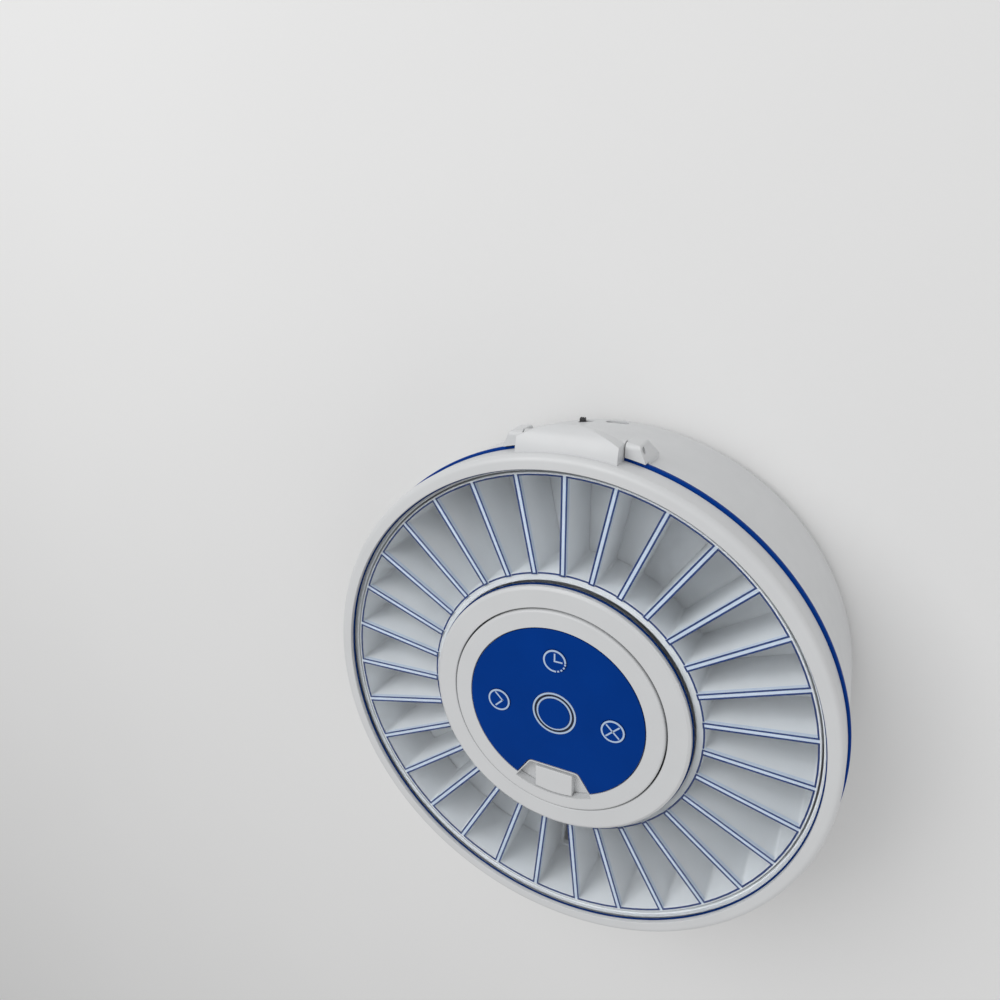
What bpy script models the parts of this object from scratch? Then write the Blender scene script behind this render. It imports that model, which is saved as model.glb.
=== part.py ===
"""Automatic pill dispenser with a turning tray of 31 compartments, in metres.

The body lies flat, +Z up. The lid's hinge is at the rear (+Y) and the pill drawer at the front (-Y).
The origin is at the centre of the footprint, on the table. The pieces are built around the turning
axis of the tray, and one empty shifts them so that the footprint is centred.
"""
import math

import bmesh
import bpy
from mathutils import Matrix, Vector

# Clearances and facets
SEAT_GAP = 0.0003
RUN_GAP = 0.0004
OVERRUN = 0.002
LARGE_STEPS = 64
HUB_STEPS = 48
MEDIUM_STEPS = 24
FOOT_STEPS = 16
SMALL_STEPS = 12
PIN_STEPS = 8
SMOOTH_ANGLE = math.radians(32)

# Body
BODY_RADIUS = 0.107
SHELL_WALL = 0.0024
FLOOR_THICKNESS = 0.0026
FOOT_STAND = 0.002
BASE_TAPER = 0.002
BOTTOM_ROUND = 0.006
SEAL_PROUD = 0.001
SEAL_HEIGHT = 0.0024
SEAL_BEAD = 0.0006

# Deck, the floor that the tray slides on
DECK_EDGE_GAP = 0.0012
DECK_THICKNESS = 0.0024
WELL_SETBACK = 0.0015
WELL_WALL = 0.002
WELL_HEADROOM = 0.0006
COLUMN_RADIUS = 0.004
COLUMN_INSET = 0.017
COLUMN_ANGLES = [math.radians(degrees) for degrees in (50, 130, 215, 325)]
BOSS_RADIUS = 0.005
BOSS_HEIGHT = 0.0054
DROP_HOLE_MARGIN = 0.0012

# Tray
COMPARTMENT_COUNT = 31
DIVIDER_WIDTH = 0.002
TRAY_SIDE_GAP = 0.0007
TRAY_RING_ROOM = 0.0025
TRAY_INNER_WALL = 0.0014
TRAY_FLANGE_WIDTH = 0.002
TRAY_FLANGE_THICKNESS = 0.0014
TRAY_OUTER_WALL = 0.0012
TRAY_HEIGHT = 0.0265
TRAY_HEADROOM = 0.0008
RING_GEAR_TEETH = 52
PINION_TEETH = 10
GEAR_RIM = 0.0031
GEAR_FACE = 0.0058
PINION_FACE = 0.0052
TOOTH_TIP_SHARE = 0.26
TOOTH_ROOT_SHARE = 0.56
ADDENDUM_SHARE = 0.9
DEDENDUM_SHARE = 1.1

# Lid
LID_HEIGHT = 0.0115
LID_WALL = 0.0024
LID_FRAME_WIDTH = 0.0057
WINDOW_THICKNESS = 0.002
WINDOW_LAP = 0.0017
LIP_THICKNESS = 0.0019
LID_EDGE_ROUND = 0.0028
INNER_RING_GAP = 0.00065
INNER_RING_WIDTH = 0.00885
INNER_RING_RISE = 0.0008
INNER_RING_SLOPE_WIDTH = 0.0012
WINDOW_SKIRT = 0.0014

# Hinge
HINGE_AXIS_OUT = 0.002
HINGE_AXIS_DROP = 0.0022
KNUCKLE_RADIUS = 0.003
EAR_INNER_X = 0.0203
EAR_WIDTH = 0.0056
EAR_ROOT_SPREAD = 0.0022
EAR_NOSE = 0.0001
EAR_CORNER = 0.0011
EAR_ROOT_SINK = 0.0028
EAR_DEPTH = 0.0145
EAR_SLOPE_DEPTH = 0.0085
TONGUE_PROUD = 0.0073
TONGUE_RADIUS = 0.0416
TONGUE_RISE = 0.0078
HINGE_PIN_RADIUS = 0.001

# Hub
HUB_RADIUS = 0.0453
HUB_WALL = 0.002
HUB_PROUD = 0.0016
HUB_PLATE = 0.002
HUB_EDGE_ROUND = 0.0012
HUB_RIM_WIDTH = 0.0074
HUB_GEAR_ROOM = 0.0045
HUB_FLOOR_THICKNESS = 0.002
HUB_SPIGOT_WALL = 0.0016
HUB_SPIGOT_HEIGHT = 0.006
NECK_ROOM = 0.0022
NECK_WALL = 0.002
NECK_FLANGE_WIDTH = 0.006
NECK_FLANGE_THICKNESS = 0.0023
POST_RADIUS = 0.0025
POST_INSET = 0.0035
POST_ANGLES = [math.radians(degrees) for degrees in (30, 150, 330, 210)]

# Panel, buttons and light ring
PANEL_THICKNESS = 0.0015
BUTTON_RADIUS = 0.00475
BUTTON_PROUD = 0.0006
BUTTON_FLANGE = 0.0012
BUTTON_FLANGE_THICKNESS = 0.001
BUTTON_EDGE_ROUND = 0.0004
BUTTON_STEM_RADIUS = 0.0015
BUTTON_STEM_DROP = 0.0035
CLOCK_EDGE_ROOM = 0.0131
NEXT_EDGE_ROOM = 0.013
NEXT_DROP = 0.0005
CANCEL_EDGE_ROOM = 0.0127
CANCEL_DROP = 0.0004
CENTRE_BUTTON_RADIUS = 0.0071
LIGHT_RING_OUTER_RADIUS = 0.0092
LIGHT_RING_WIDTH = 0.0018

# Control board and switches
BOARD_THICKNESS = 0.0016
CONTROL_BOARD_SETBACK = 0.0078
SWITCH_SIDE = 0.006
SWITCH_HEIGHT = 0.0027
PLUNGER_RADIUS = 0.0017
PLUNGER_BORE_GAP = 0.0004
PLUNGER_PROUD = 0.0009
PLUNGER_FOOT_ROOM = 0.0011
SWITCH_BED = 0.0003

# Latch
RECESS_TOP_HALF_WIDTH = 0.0104
RECESS_BOTTOM_HALF_WIDTH = 0.0168
RECESS_SETBACK = 0.0056
RECESS_ARC_DEPTH = 0.0042
RECESS_DEPTH = 0.0089
RECESS_CORNER = 0.0018
RECESS_RIM = 0.0009
LATCH_HALF_WIDTH = 0.0082
LATCH_ROOM = 0.002
LATCH_PLATE_HALF_WIDTH = 0.0185
LATCH_PLATE_THICKNESS = 0.0017
LATCH_PLATE_SETBACK = 0.0038
LATCH_PLATE_LENGTH = 0.0195
LATCH_TONGUE_HALF_WIDTH = 0.0052
LATCH_CATCH = 0.0014
LATCH_TAB_HALF_WIDTH = 0.003
LATCH_TAB_THICKNESS = 0.0015
LATCH_TAB_HEIGHT = 0.0033
LATCH_BUTTON_DEPTH = 0.0006
LATCH_POST_ROOM = 0.0039
LATCH_POST_THICKNESS = 0.0015
SPRING_COIL_RADIUS = 0.0014
SPRING_WIRE_RADIUS = 0.0002
SPRING_PITCH = 0.00176
SPRING_POINTS_PER_TURN = 8

# Drawer
DRAWER_HALF_WIDTH = 0.031
DRAWER_BOTTOM_LIFT = 0.0044
DRAWER_HEIGHT = 0.0277
DRAWER_TOP_ROOM = 0.0007
DRAWER_BACK_ROOM = 0.0047
DRAWER_FRONT_SETBACK = 0.0075
DRAWER_WALL = 0.0016
DRAWER_SIDE_INSET = 0.002
FASCIA_THICKNESS = 0.0024
PULL_PROUD = 0.003
PULL_HALF_ANGLE = math.radians(8)
PULL_THICKNESS = 0.0026
PULL_HEIGHT_SHARE = 0.55
GUIDE_THICKNESS = 0.0018
GUIDE_HEIGHT = 0.020
GUIDE_FRONT_SETBACK = 0.0075
GUIDE_FOOT_WIDTH = 0.007

# Drive
MOTOR_CAN_RADIUS = 0.012
MOTOR_CAN_HEIGHT = 0.016
GEARBOX_HEIGHT = 0.009
GEARBOX_EAR_HALF_LENGTH = 0.0175
GEARBOX_EAR_HALF_WIDTH = 0.0035
GEARBOX_EAR_THICKNESS = 0.001
SHAFT_RADIUS = 0.002
SHAFT_HOLE_RADIUS = 0.0032

# Electronics in the base
MAIN_BOARD_HALF_WIDTH = 0.032
MAIN_BOARD_FRONT_ROOM = 0.0167
MAIN_BOARD_REAR_ROOM = 0.011
STANDOFF_HEIGHT = 0.0031
STANDOFF_RADIUS = 0.0022
STANDOFF_INSET = 0.004
MODULE_SIZE = (0.018, 0.014, 0.0024)
MODULE_PLACE = (-0.018, 0.012)
CHIP_SIZE = (0.010, 0.010, 0.0014)
CHIP_PLACE = (0.006, 0.018)
CONNECTOR_SIZE = (0.010, 0.005, 0.005)
CONNECTOR_PLACE = (0.0, 0.0035)
CAPACITOR_RADIUS = 0.0032
CAPACITOR_HEIGHT = 0.009
CAPACITOR_PLACES = [(0.020, 0.008), (0.020, 0.018)]
USB_SIZE = (0.009, 0.0083, 0.0032)
USB_MOUTH = (0.0078, 0.006, 0.0022)
USB_SETBACK = 0.0027
USB_HOLE_MARGIN = 0.0006
SWITCH_CENTRE_X = -0.014
SWITCH_BODY_SIZE = (0.012, 0.007, 0.0042)
SWITCH_BODY_SETBACK = 0.0085
KNOB_SIZE = (0.0026, 0.0085, 0.0018)
KNOB_SETBACK = 0.0012
KNOB_TRAVEL = 0.003
KNOB_ROOM = 0.0006
SPEAKER_RADIUS = 0.014
SPEAKER_HEIGHT = 0.0046
SPEAKER_PLACE = (-0.060, -0.012)
GRILLE_SLOT_COUNT = 5
GRILLE_SLOT_WIDTH = 0.0015
GRILLE_SLOT_PITCH = 0.0036
GRILLE_SLOT_LENGTH = 0.018
SENSOR_ARM_WIDTH = 0.004
SENSOR_HEIGHT = 0.0033
SENSOR_ARM_LENGTH = 0.0243
SENSOR_SIDE_GAP = 0.001
CABLE_RADIUS = 0.0011

# Batteries
CELL_COUNT = 2
CELL_RADIUS = 0.0091
CELL_LENGTH = 0.065
CELL_PITCH = 0.0188
CELL_NIPPLE_RADIUS = 0.0031
CELL_NIPPLE_LENGTH = 0.0005
HOLDER_SIDE_ROOM = 0.0286
HOLDER_WALL = 0.0014
CONTACT_THICKNESS = 0.0004
CONTACT_SIDE = 0.009
COVER_THICKNESS = 0.0024

# Screws and feet
BASE_SCREW_RADIUS = 0.0014
BASE_SCREW_HEAD_RADIUS = 0.0028
BASE_SCREW_HEAD_HEIGHT = 0.0017
BASE_SCREW_GRIP = 0.006
HUB_SCREW_RADIUS = 0.0011
HUB_SCREW_HEAD_RADIUS = 0.0019
HUB_SCREW_HEAD_HEIGHT = 0.0014
HUB_SCREW_INSET = 0.0028
HUB_SCREW_ANGLES = [math.radians(degrees) for degrees in (90, 225, 315)]
FOOT_RADIUS = 0.008
FOOT_RECESS = 0.0008
FOOT_INSET = 0.025
FOOT_ANGLES = [math.radians(degrees) for degrees in (70, 110, 235, 305)]

# Radii and reaches, from the outline inwards
SEAL_RADIUS = BODY_RADIUS + SEAL_PROUD
DECK_RADIUS = BODY_RADIUS - SHELL_WALL - DECK_EDGE_GAP
WELL_OUTER_RADIUS = DECK_RADIUS - WELL_SETBACK
WELL_INNER_RADIUS = WELL_OUTER_RADIUS - WELL_WALL
LID_FRAME_INNER_RADIUS = BODY_RADIUS - LID_FRAME_WIDTH
WINDOW_OUTER_RADIUS = LID_FRAME_INNER_RADIUS + WINDOW_LAP
COMPARTMENT_OUTER_RADIUS = WELL_INNER_RADIUS - TRAY_SIDE_GAP - TRAY_OUTER_WALL
COLUMN_CIRCLE_RADIUS = BODY_RADIUS - COLUMN_INSET
FOOT_CIRCLE_RADIUS = BODY_RADIUS - FOOT_INSET
HINGE_AXIS_REACH = BODY_RADIUS + HINGE_AXIS_OUT
EAR_REACH = HINGE_AXIS_REACH + KNUCKLE_RADIUS + EAR_NOSE
EAR_OUTER_REACH = EAR_REACH - EAR_CORNER
EAR_ROOT_REACH = BODY_RADIUS - EAR_ROOT_SINK
EAR_OUTER_X = EAR_INNER_X + EAR_WIDTH
EAR_ROOT_X = EAR_OUTER_X + EAR_ROOT_SPREAD
TONGUE_REACH = HINGE_AXIS_REACH + TONGUE_PROUD
TONGUE_CENTRE_Y = TONGUE_REACH - TONGUE_RADIUS
TONGUE_HALF_WIDTH = EAR_INNER_X - RUN_GAP
DRAWER_FRONT_REACH = BODY_RADIUS - DRAWER_FRONT_SETBACK
GUIDE_FRONT_REACH = DRAWER_FRONT_REACH - GUIDE_FRONT_SETBACK
PULL_RADIUS = BODY_RADIUS + PULL_PROUD
USB_REACH = BODY_RADIUS - USB_SETBACK
SWITCH_BODY_REACH = BODY_RADIUS - SWITCH_BODY_SETBACK
KNOB_REACH = BODY_RADIUS - KNOB_SETBACK
HOLDER_LENGTH = CELL_COUNT * CELL_PITCH + 2 * HOLDER_WALL
HOLDER_HALF_WIDTH = CELL_LENGTH / 2 + 2 * CONTACT_THICKNESS + 2 * SEAT_GAP + HOLDER_WALL
HOLDER_END_X = BODY_RADIUS - HOLDER_SIDE_ROOM
HOLDER_START_X = HOLDER_END_X - HOLDER_LENGTH
DRAWER_BACK_REACH = HOLDER_HALF_WIDTH + DRAWER_BACK_ROOM
MAIN_BOARD_FRONT = HOLDER_HALF_WIDTH + MAIN_BOARD_FRONT_ROOM
MAIN_BOARD_REAR = BODY_RADIUS - MAIN_BOARD_REAR_ROOM
FOOTPRINT_SHIFT = (PULL_RADIUS - TONGUE_REACH) / 2

# Radii and reaches, from the hub outwards
PANEL_RADIUS = HUB_RADIUS - HUB_RIM_WIDTH - RUN_GAP
CONTROL_BOARD_RADIUS = HUB_RADIUS - CONTROL_BOARD_SETBACK
POST_CIRCLE_RADIUS = CONTROL_BOARD_RADIUS - POST_INSET
RECESS_ARC_RADIUS = HUB_RADIUS - RECESS_SETBACK
RECESS_BOTTOM_REACH = RECESS_ARC_RADIUS - RECESS_ARC_DEPTH
RECESS_TOP_REACH = RECESS_BOTTOM_REACH - RECESS_DEPTH
LATCH_TOP_REACH = RECESS_TOP_REACH + LATCH_ROOM
LATCH_PLATE_REACH = HUB_RADIUS - LATCH_PLATE_SETBACK
LATCH_PLATE_START = LATCH_PLATE_REACH - LATCH_PLATE_LENGTH
LATCH_POST_REACH = CENTRE_BUTTON_RADIUS + BUTTON_FLANGE + LATCH_POST_ROOM
CLOCK_PLACE = (0.0, PANEL_RADIUS - CLOCK_EDGE_ROOM)
NEXT_PLACE = (NEXT_EDGE_ROOM - PANEL_RADIUS, -NEXT_DROP)
CANCEL_PLACE = (PANEL_RADIUS - CANCEL_EDGE_ROOM, -CANCEL_DROP)
CENTRE_PLACE = (0.0, 0.0)
BUTTONS = [
    ("clock", CLOCK_PLACE, BUTTON_RADIUS),
    ("next", NEXT_PLACE, BUTTON_RADIUS),
    ("cancel", CANCEL_PLACE, BUTTON_RADIUS),
    ("centre", CENTRE_PLACE, CENTRE_BUTTON_RADIUS),
]
INNER_RING_INNER_RADIUS = HUB_RADIUS + INNER_RING_GAP
INNER_RING_OUTER_RADIUS = INNER_RING_INNER_RADIUS + INNER_RING_WIDTH
WINDOW_INNER_RADIUS = INNER_RING_OUTER_RADIUS - WINDOW_LAP
COMPARTMENT_INNER_RADIUS = INNER_RING_OUTER_RADIUS + TRAY_RING_ROOM + TRAY_INNER_WALL
COMPARTMENT_PITCH = 2 * math.pi / COMPARTMENT_COUNT
SENSOR_REACH = COMPARTMENT_INNER_RADIUS - SENSOR_SIDE_GAP + SENSOR_ARM_LENGTH
REAR_ANGLE = math.pi / 2
FRONT_ANGLE = -math.pi / 2

# Drive
GEAR_ROOT_RADIUS = COMPARTMENT_INNER_RADIUS - TRAY_INNER_WALL - GEAR_RIM
GEAR_MODULE = GEAR_ROOT_RADIUS / (RING_GEAR_TEETH / 2 + DEDENDUM_SHARE)
GEAR_PITCH_RADIUS = RING_GEAR_TEETH * GEAR_MODULE / 2
PINION_PITCH_RADIUS = PINION_TEETH * GEAR_MODULE / 2
PINION_DISTANCE = GEAR_PITCH_RADIUS - PINION_PITCH_RADIUS
PINION_PLACE = (-PINION_DISTANCE, 0.0)
PINION_TIP_RADIUS = PINION_PITCH_RADIUS + ADDENDUM_SHARE * GEAR_MODULE
NECK_RADIUS = PINION_DISTANCE - PINION_TIP_RADIUS - NECK_ROOM
DECK_HOLE_RADIUS = NECK_RADIUS - NECK_WALL - NECK_FLANGE_WIDTH
HUB_SCREW_CIRCLE_RADIUS = NECK_RADIUS - NECK_WALL - HUB_SCREW_INSET

# Levels above the table, from the bottom up
BASE_BOTTOM = FOOT_STAND
FLOOR_TOP = BASE_BOTTOM + FLOOR_THICKNESS
DRAWER_BOTTOM = FLOOR_TOP + DRAWER_BOTTOM_LIFT
DRAWER_TOP = DRAWER_BOTTOM + DRAWER_HEIGHT
DECK_BOTTOM = DRAWER_TOP + DRAWER_TOP_ROOM + SENSOR_HEIGHT + SEAT_GAP
DECK_TOP = DECK_BOTTOM + DECK_THICKNESS
TRAY_BOTTOM = DECK_TOP + SEAT_GAP
TRAY_TOP = TRAY_BOTTOM + TRAY_HEIGHT
WINDOW_BOTTOM = TRAY_TOP + TRAY_HEADROOM
WELL_TOP = WINDOW_BOTTOM - WELL_HEADROOM
WINDOW_TOP = WINDOW_BOTTOM + WINDOW_THICKNESS
LIP_BOTTOM = WINDOW_TOP + SEAT_GAP
LID_TOP = LIP_BOTTOM + LIP_THICKNESS
LID_BOTTOM = LID_TOP - LID_HEIGHT
SEAL_TOP = LID_BOTTOM - SEAT_GAP
SEAL_BOTTOM = SEAL_TOP - SEAL_HEIGHT
BASE_TOP = SEAL_BOTTOM - SEAT_GAP
HINGE_LEVEL = LID_BOTTOM - HINGE_AXIS_DROP
HUB_TOP = LID_TOP + HUB_PROUD
PANEL_BOTTOM = HUB_TOP - PANEL_THICKNESS
HUB_SEAT = PANEL_BOTTOM - SEAT_GAP
HUB_PLATE_BOTTOM = HUB_SEAT - HUB_PLATE
HUB_FLOOR_BOTTOM = TRAY_BOTTOM + GEAR_FACE + HUB_GEAR_ROOM
HUB_FLOOR_TOP = HUB_FLOOR_BOTTOM + HUB_FLOOR_THICKNESS
HUB_COVER_BOTTOM = HUB_FLOOR_BOTTOM + SEAT_GAP
BUTTON_TOP = HUB_TOP + BUTTON_PROUD
FLANGE_TOP = HUB_PLATE_BOTTOM - SEAT_GAP
FLANGE_BOTTOM = FLANGE_TOP - BUTTON_FLANGE_THICKNESS
STEM_BOTTOM = FLANGE_TOP - BUTTON_STEM_DROP
PLUNGER_TOP = STEM_BOTTOM - SEAT_GAP
SWITCH_TOP = PLUNGER_TOP - PLUNGER_PROUD
SWITCH_BOTTOM = SWITCH_TOP - SWITCH_HEIGHT
CONTROL_BOARD_TOP = SWITCH_BOTTOM - SEAT_GAP
CONTROL_BOARD_BOTTOM = CONTROL_BOARD_TOP - BOARD_THICKNESS
LATCH_PLATE_TOP = HUB_PLATE_BOTTOM - SEAT_GAP
LATCH_PLATE_BOTTOM = LATCH_PLATE_TOP - LATCH_PLATE_THICKNESS
STANDOFF_TOP = FLOOR_TOP + STANDOFF_HEIGHT
MAIN_BOARD_BOTTOM = STANDOFF_TOP + SEAT_GAP
MAIN_BOARD_TOP = MAIN_BOARD_BOTTOM + BOARD_THICKNESS
PARTS_LEVEL = MAIN_BOARD_TOP + SEAT_GAP
COVER_TOP = BASE_BOTTOM + COVER_THICKNESS
CELL_LEVEL = COVER_TOP + SEAT_GAP + CELL_RADIUS
GEARBOX_TOP = DECK_BOTTOM - SEAT_GAP
GEARBOX_BOTTOM = GEARBOX_TOP - GEARBOX_HEIGHT

WHITE = (0.68, 0.69, 0.70)
PANEL_BLUE = (0.001, 0.038, 0.25)
TRAY_WHITE = (0.78, 0.80, 0.82)
CLEAR_TINT = (0.75, 0.86, 0.95)
LIGHT_TINT = (0.46, 0.58, 0.76)
GREY = (0.22, 0.23, 0.25)
BLACK = (0.02, 0.02, 0.022)
STEEL = (0.62, 0.63, 0.65)
BOARD_GREEN = (0.01, 0.12, 0.05)
CELL_BLUE = (0.02, 0.20, 0.42)


def clear_scene():
    for thing in list(bpy.data.objects):
        bpy.data.objects.remove(thing)


def new_collection(name):
    group = bpy.data.collections.new(name)
    bpy.context.scene.collection.children.link(group)
    return group


clear_scene()
PARTS = new_collection("automatic_pill_dispenser")
CUTTERS = new_collection("cutters")


def plastic(name, colour, roughness=0.4, metallic=0.0, alpha=1.0):
    """A Principled material in one colour."""
    made = bpy.data.materials.get(name)
    if made:
        return made
    made = bpy.data.materials.new(name)
    made.use_nodes = True
    shader = made.node_tree.nodes["Principled BSDF"]
    shader.inputs["Base Color"].default_value = (*colour, 1.0)
    shader.inputs["Roughness"].default_value = roughness
    shader.inputs["Metallic"].default_value = metallic
    shader.inputs["Alpha"].default_value = alpha
    return made


def white():
    return plastic("white_plastic", WHITE, 0.38)


def blue():
    return plastic("blue_plastic", PANEL_BLUE, 0.3)


def grey():
    return plastic("grey_plastic", GREY, 0.5)


def black():
    return plastic("black_plastic", BLACK, 0.5)


def steel():
    return plastic("steel", STEEL, 0.3, 1.0)


def add_object(name, mesh, material, group=None):
    made = bpy.data.objects.new(name, mesh)
    (group or PARTS).objects.link(made)
    if material:
        mesh.materials.clear()
        mesh.materials.append(material)
    return made


def mesh_of(name, shape):
    """A mesh from a bmesh, with its faces turned outwards."""
    bmesh.ops.recalc_face_normals(shape, faces=shape.faces)
    mesh = bpy.data.meshes.new(name)
    shape.to_mesh(mesh)
    shape.free()
    return mesh


def evaluated_mesh(thing):
    bpy.context.view_layer.update()
    graph = bpy.context.evaluated_depsgraph_get()
    return bpy.data.meshes.new_from_object(thing.evaluated_get(graph), depsgraph=graph)


def block(name, low, high, material=None):
    """A box between two corners."""
    shape = bmesh.new()
    bmesh.ops.create_cube(shape, size=1.0)
    low, high = Vector(low), Vector(high)
    size = high - low
    place = Matrix.Translation((low + high) / 2) @ Matrix.Diagonal((*size, 1.0))
    bmesh.ops.transform(shape, matrix=place, verts=shape.verts)
    return add_object(name, mesh_of(name, shape), material)


def block_on(name, size, place, level, material=None):
    """A box of a given size standing at a place on a level."""
    x, y = place
    low = (x - size[0] / 2, y - size[1] / 2, level)
    high = (x + size[0] / 2, y + size[1] / 2, level + size[2])
    return block(name, low, high, material)


AXIS_TURN = {
    "X": Matrix.Rotation(math.pi / 2, 4, "Y"),
    "Y": Matrix.Rotation(-math.pi / 2, 4, "X"),
    "Z": Matrix.Identity(4),
}


def rod(name, radius, start, length, material=None, axis="Z", steps=SMALL_STEPS):
    """A round bar from its start along an axis."""
    shape = bmesh.new()
    bmesh.ops.create_cone(
        shape, cap_ends=True, segments=steps, radius1=radius, radius2=radius, depth=length
    )
    middle = Matrix.Translation((0, 0, length / 2))
    place = Matrix.Translation(start) @ AXIS_TURN[axis] @ middle
    bmesh.ops.transform(shape, matrix=place, verts=shape.verts)
    return add_object(name, mesh_of(name, shape), material)


def turned(name, profile, material=None, steps=LARGE_STEPS, place=(0.0, 0.0)):
    """A turned shape. The profile's (radius, height) points run down its outer side."""
    closed = profile[0][0] > 0
    mesh = bpy.data.meshes.new(name)
    count = len(profile)
    edges = [(i, i + 1) for i in range(count - 1)]
    if closed:
        edges.append((count - 1, 0))
    mesh.from_pydata([(radius, 0.0, height) for radius, height in profile], edges, [])
    made = add_object(name, mesh, material)
    made.location = (*place, 0.0)
    screw = made.modifiers.new("turn", "SCREW")
    screw.axis = "Z"
    screw.angle = 2 * math.pi
    screw.steps = steps
    screw.render_steps = steps
    screw.use_merge_vertices = True
    screw.merge_threshold = 0.00001
    return made


def extruded(name, loops, low, high, material=None):
    """A flat outline, with any holes in it, drawn up from one level to another."""
    curve = bpy.data.curves.new(name, "CURVE")
    curve.dimensions = "2D"
    curve.fill_mode = "BOTH"
    curve.extrude = (high - low) / 2
    for loop in loops:
        spline = curve.splines.new("POLY")
        spline.points.add(len(loop) - 1)
        for point, (x, y) in zip(spline.points, loop):
            point.co = (x, y, 0.0, 1.0)
        spline.use_cyclic_u = True
    carrier = bpy.data.objects.new(name, curve)
    PARTS.objects.link(carrier)
    mesh = evaluated_mesh(carrier)
    bpy.data.objects.remove(carrier)
    shape = bmesh.new()
    shape.from_mesh(mesh)
    bmesh.ops.remove_doubles(shape, verts=shape.verts, dist=0.000001)
    bmesh.ops.translate(shape, vec=(0, 0, (low + high) / 2), verts=shape.verts)
    return add_object(name, mesh_of(name, shape), material)


def stand_across(thing):
    """Turns an outline drawn in X and Y into one in Y and Z, drawn out along X."""
    thing.data.transform(Matrix(((0, 0, 1, 0), (1, 0, 0, 0), (0, 1, 0, 0), (0, 0, 0, 1))))
    return thing


def combine(target, tool, operation):
    """Joins, cuts or keeps what is common, and puts the tool away with the cutters."""
    step = target.modifiers.new(operation.lower(), "BOOLEAN")
    step.operation = operation
    step.solver = "EXACT"
    step.object = tool
    for group in tool.users_collection:
        group.objects.unlink(tool)
    CUTTERS.objects.link(tool)
    tool.hide_render = True
    tool.display_type = "WIRE"
    return target


def join(target, tool):
    return combine(target, tool, "UNION")


def cut(target, tool):
    return combine(target, tool, "DIFFERENCE")


def keep_common(target, tool):
    return combine(target, tool, "INTERSECT")


def around(radius, angle):
    return (radius * math.cos(angle), radius * math.sin(angle))


def arc(radius, start, end, count):
    """Points along an arc about the axis, both ends included."""
    return [around(radius, start + (end - start) * i / count) for i in range(count + 1)]


def circle(radius, steps):
    return [around(radius, 2 * math.pi * i / steps) for i in range(steps)]


def rounded_corner(corner, radius, start, end, count):
    """Points round a corner, where corner is the rounding's centre."""
    return [
        (corner[0] + x, corner[1] + y) for x, y in arc(radius, start, end, count)
    ]


def base_outer_radius(level):
    """The base's wall leans out from the turn of the bottom to its rim."""
    start = BASE_BOTTOM + BOTTOM_ROUND
    return BODY_RADIUS - BASE_TAPER * (BASE_TOP - level) / (BASE_TOP - start)


def ear_outline(side):
    """Plan of one hinge ear: flat inner side, and an outer side that sweeps into the body."""
    sweep_steps = 4
    sweep = []
    for i in range(sweep_steps + 1):
        share = i / sweep_steps
        bend = share * share * (3 - 2 * share)
        x = EAR_OUTER_X + (EAR_ROOT_X - EAR_OUTER_X) * bend
        y = EAR_OUTER_REACH + (EAR_ROOT_REACH - EAR_OUTER_REACH) * share
        sweep.append((side * x, y))
    inner_start = BODY_RADIUS - 2 * SHELL_WALL
    return [(side * EAR_INNER_X, inner_start), (side * EAR_INNER_X, EAR_REACH)] + sweep + [
        (side * EAR_ROOT_X, inner_start)
    ]


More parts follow.
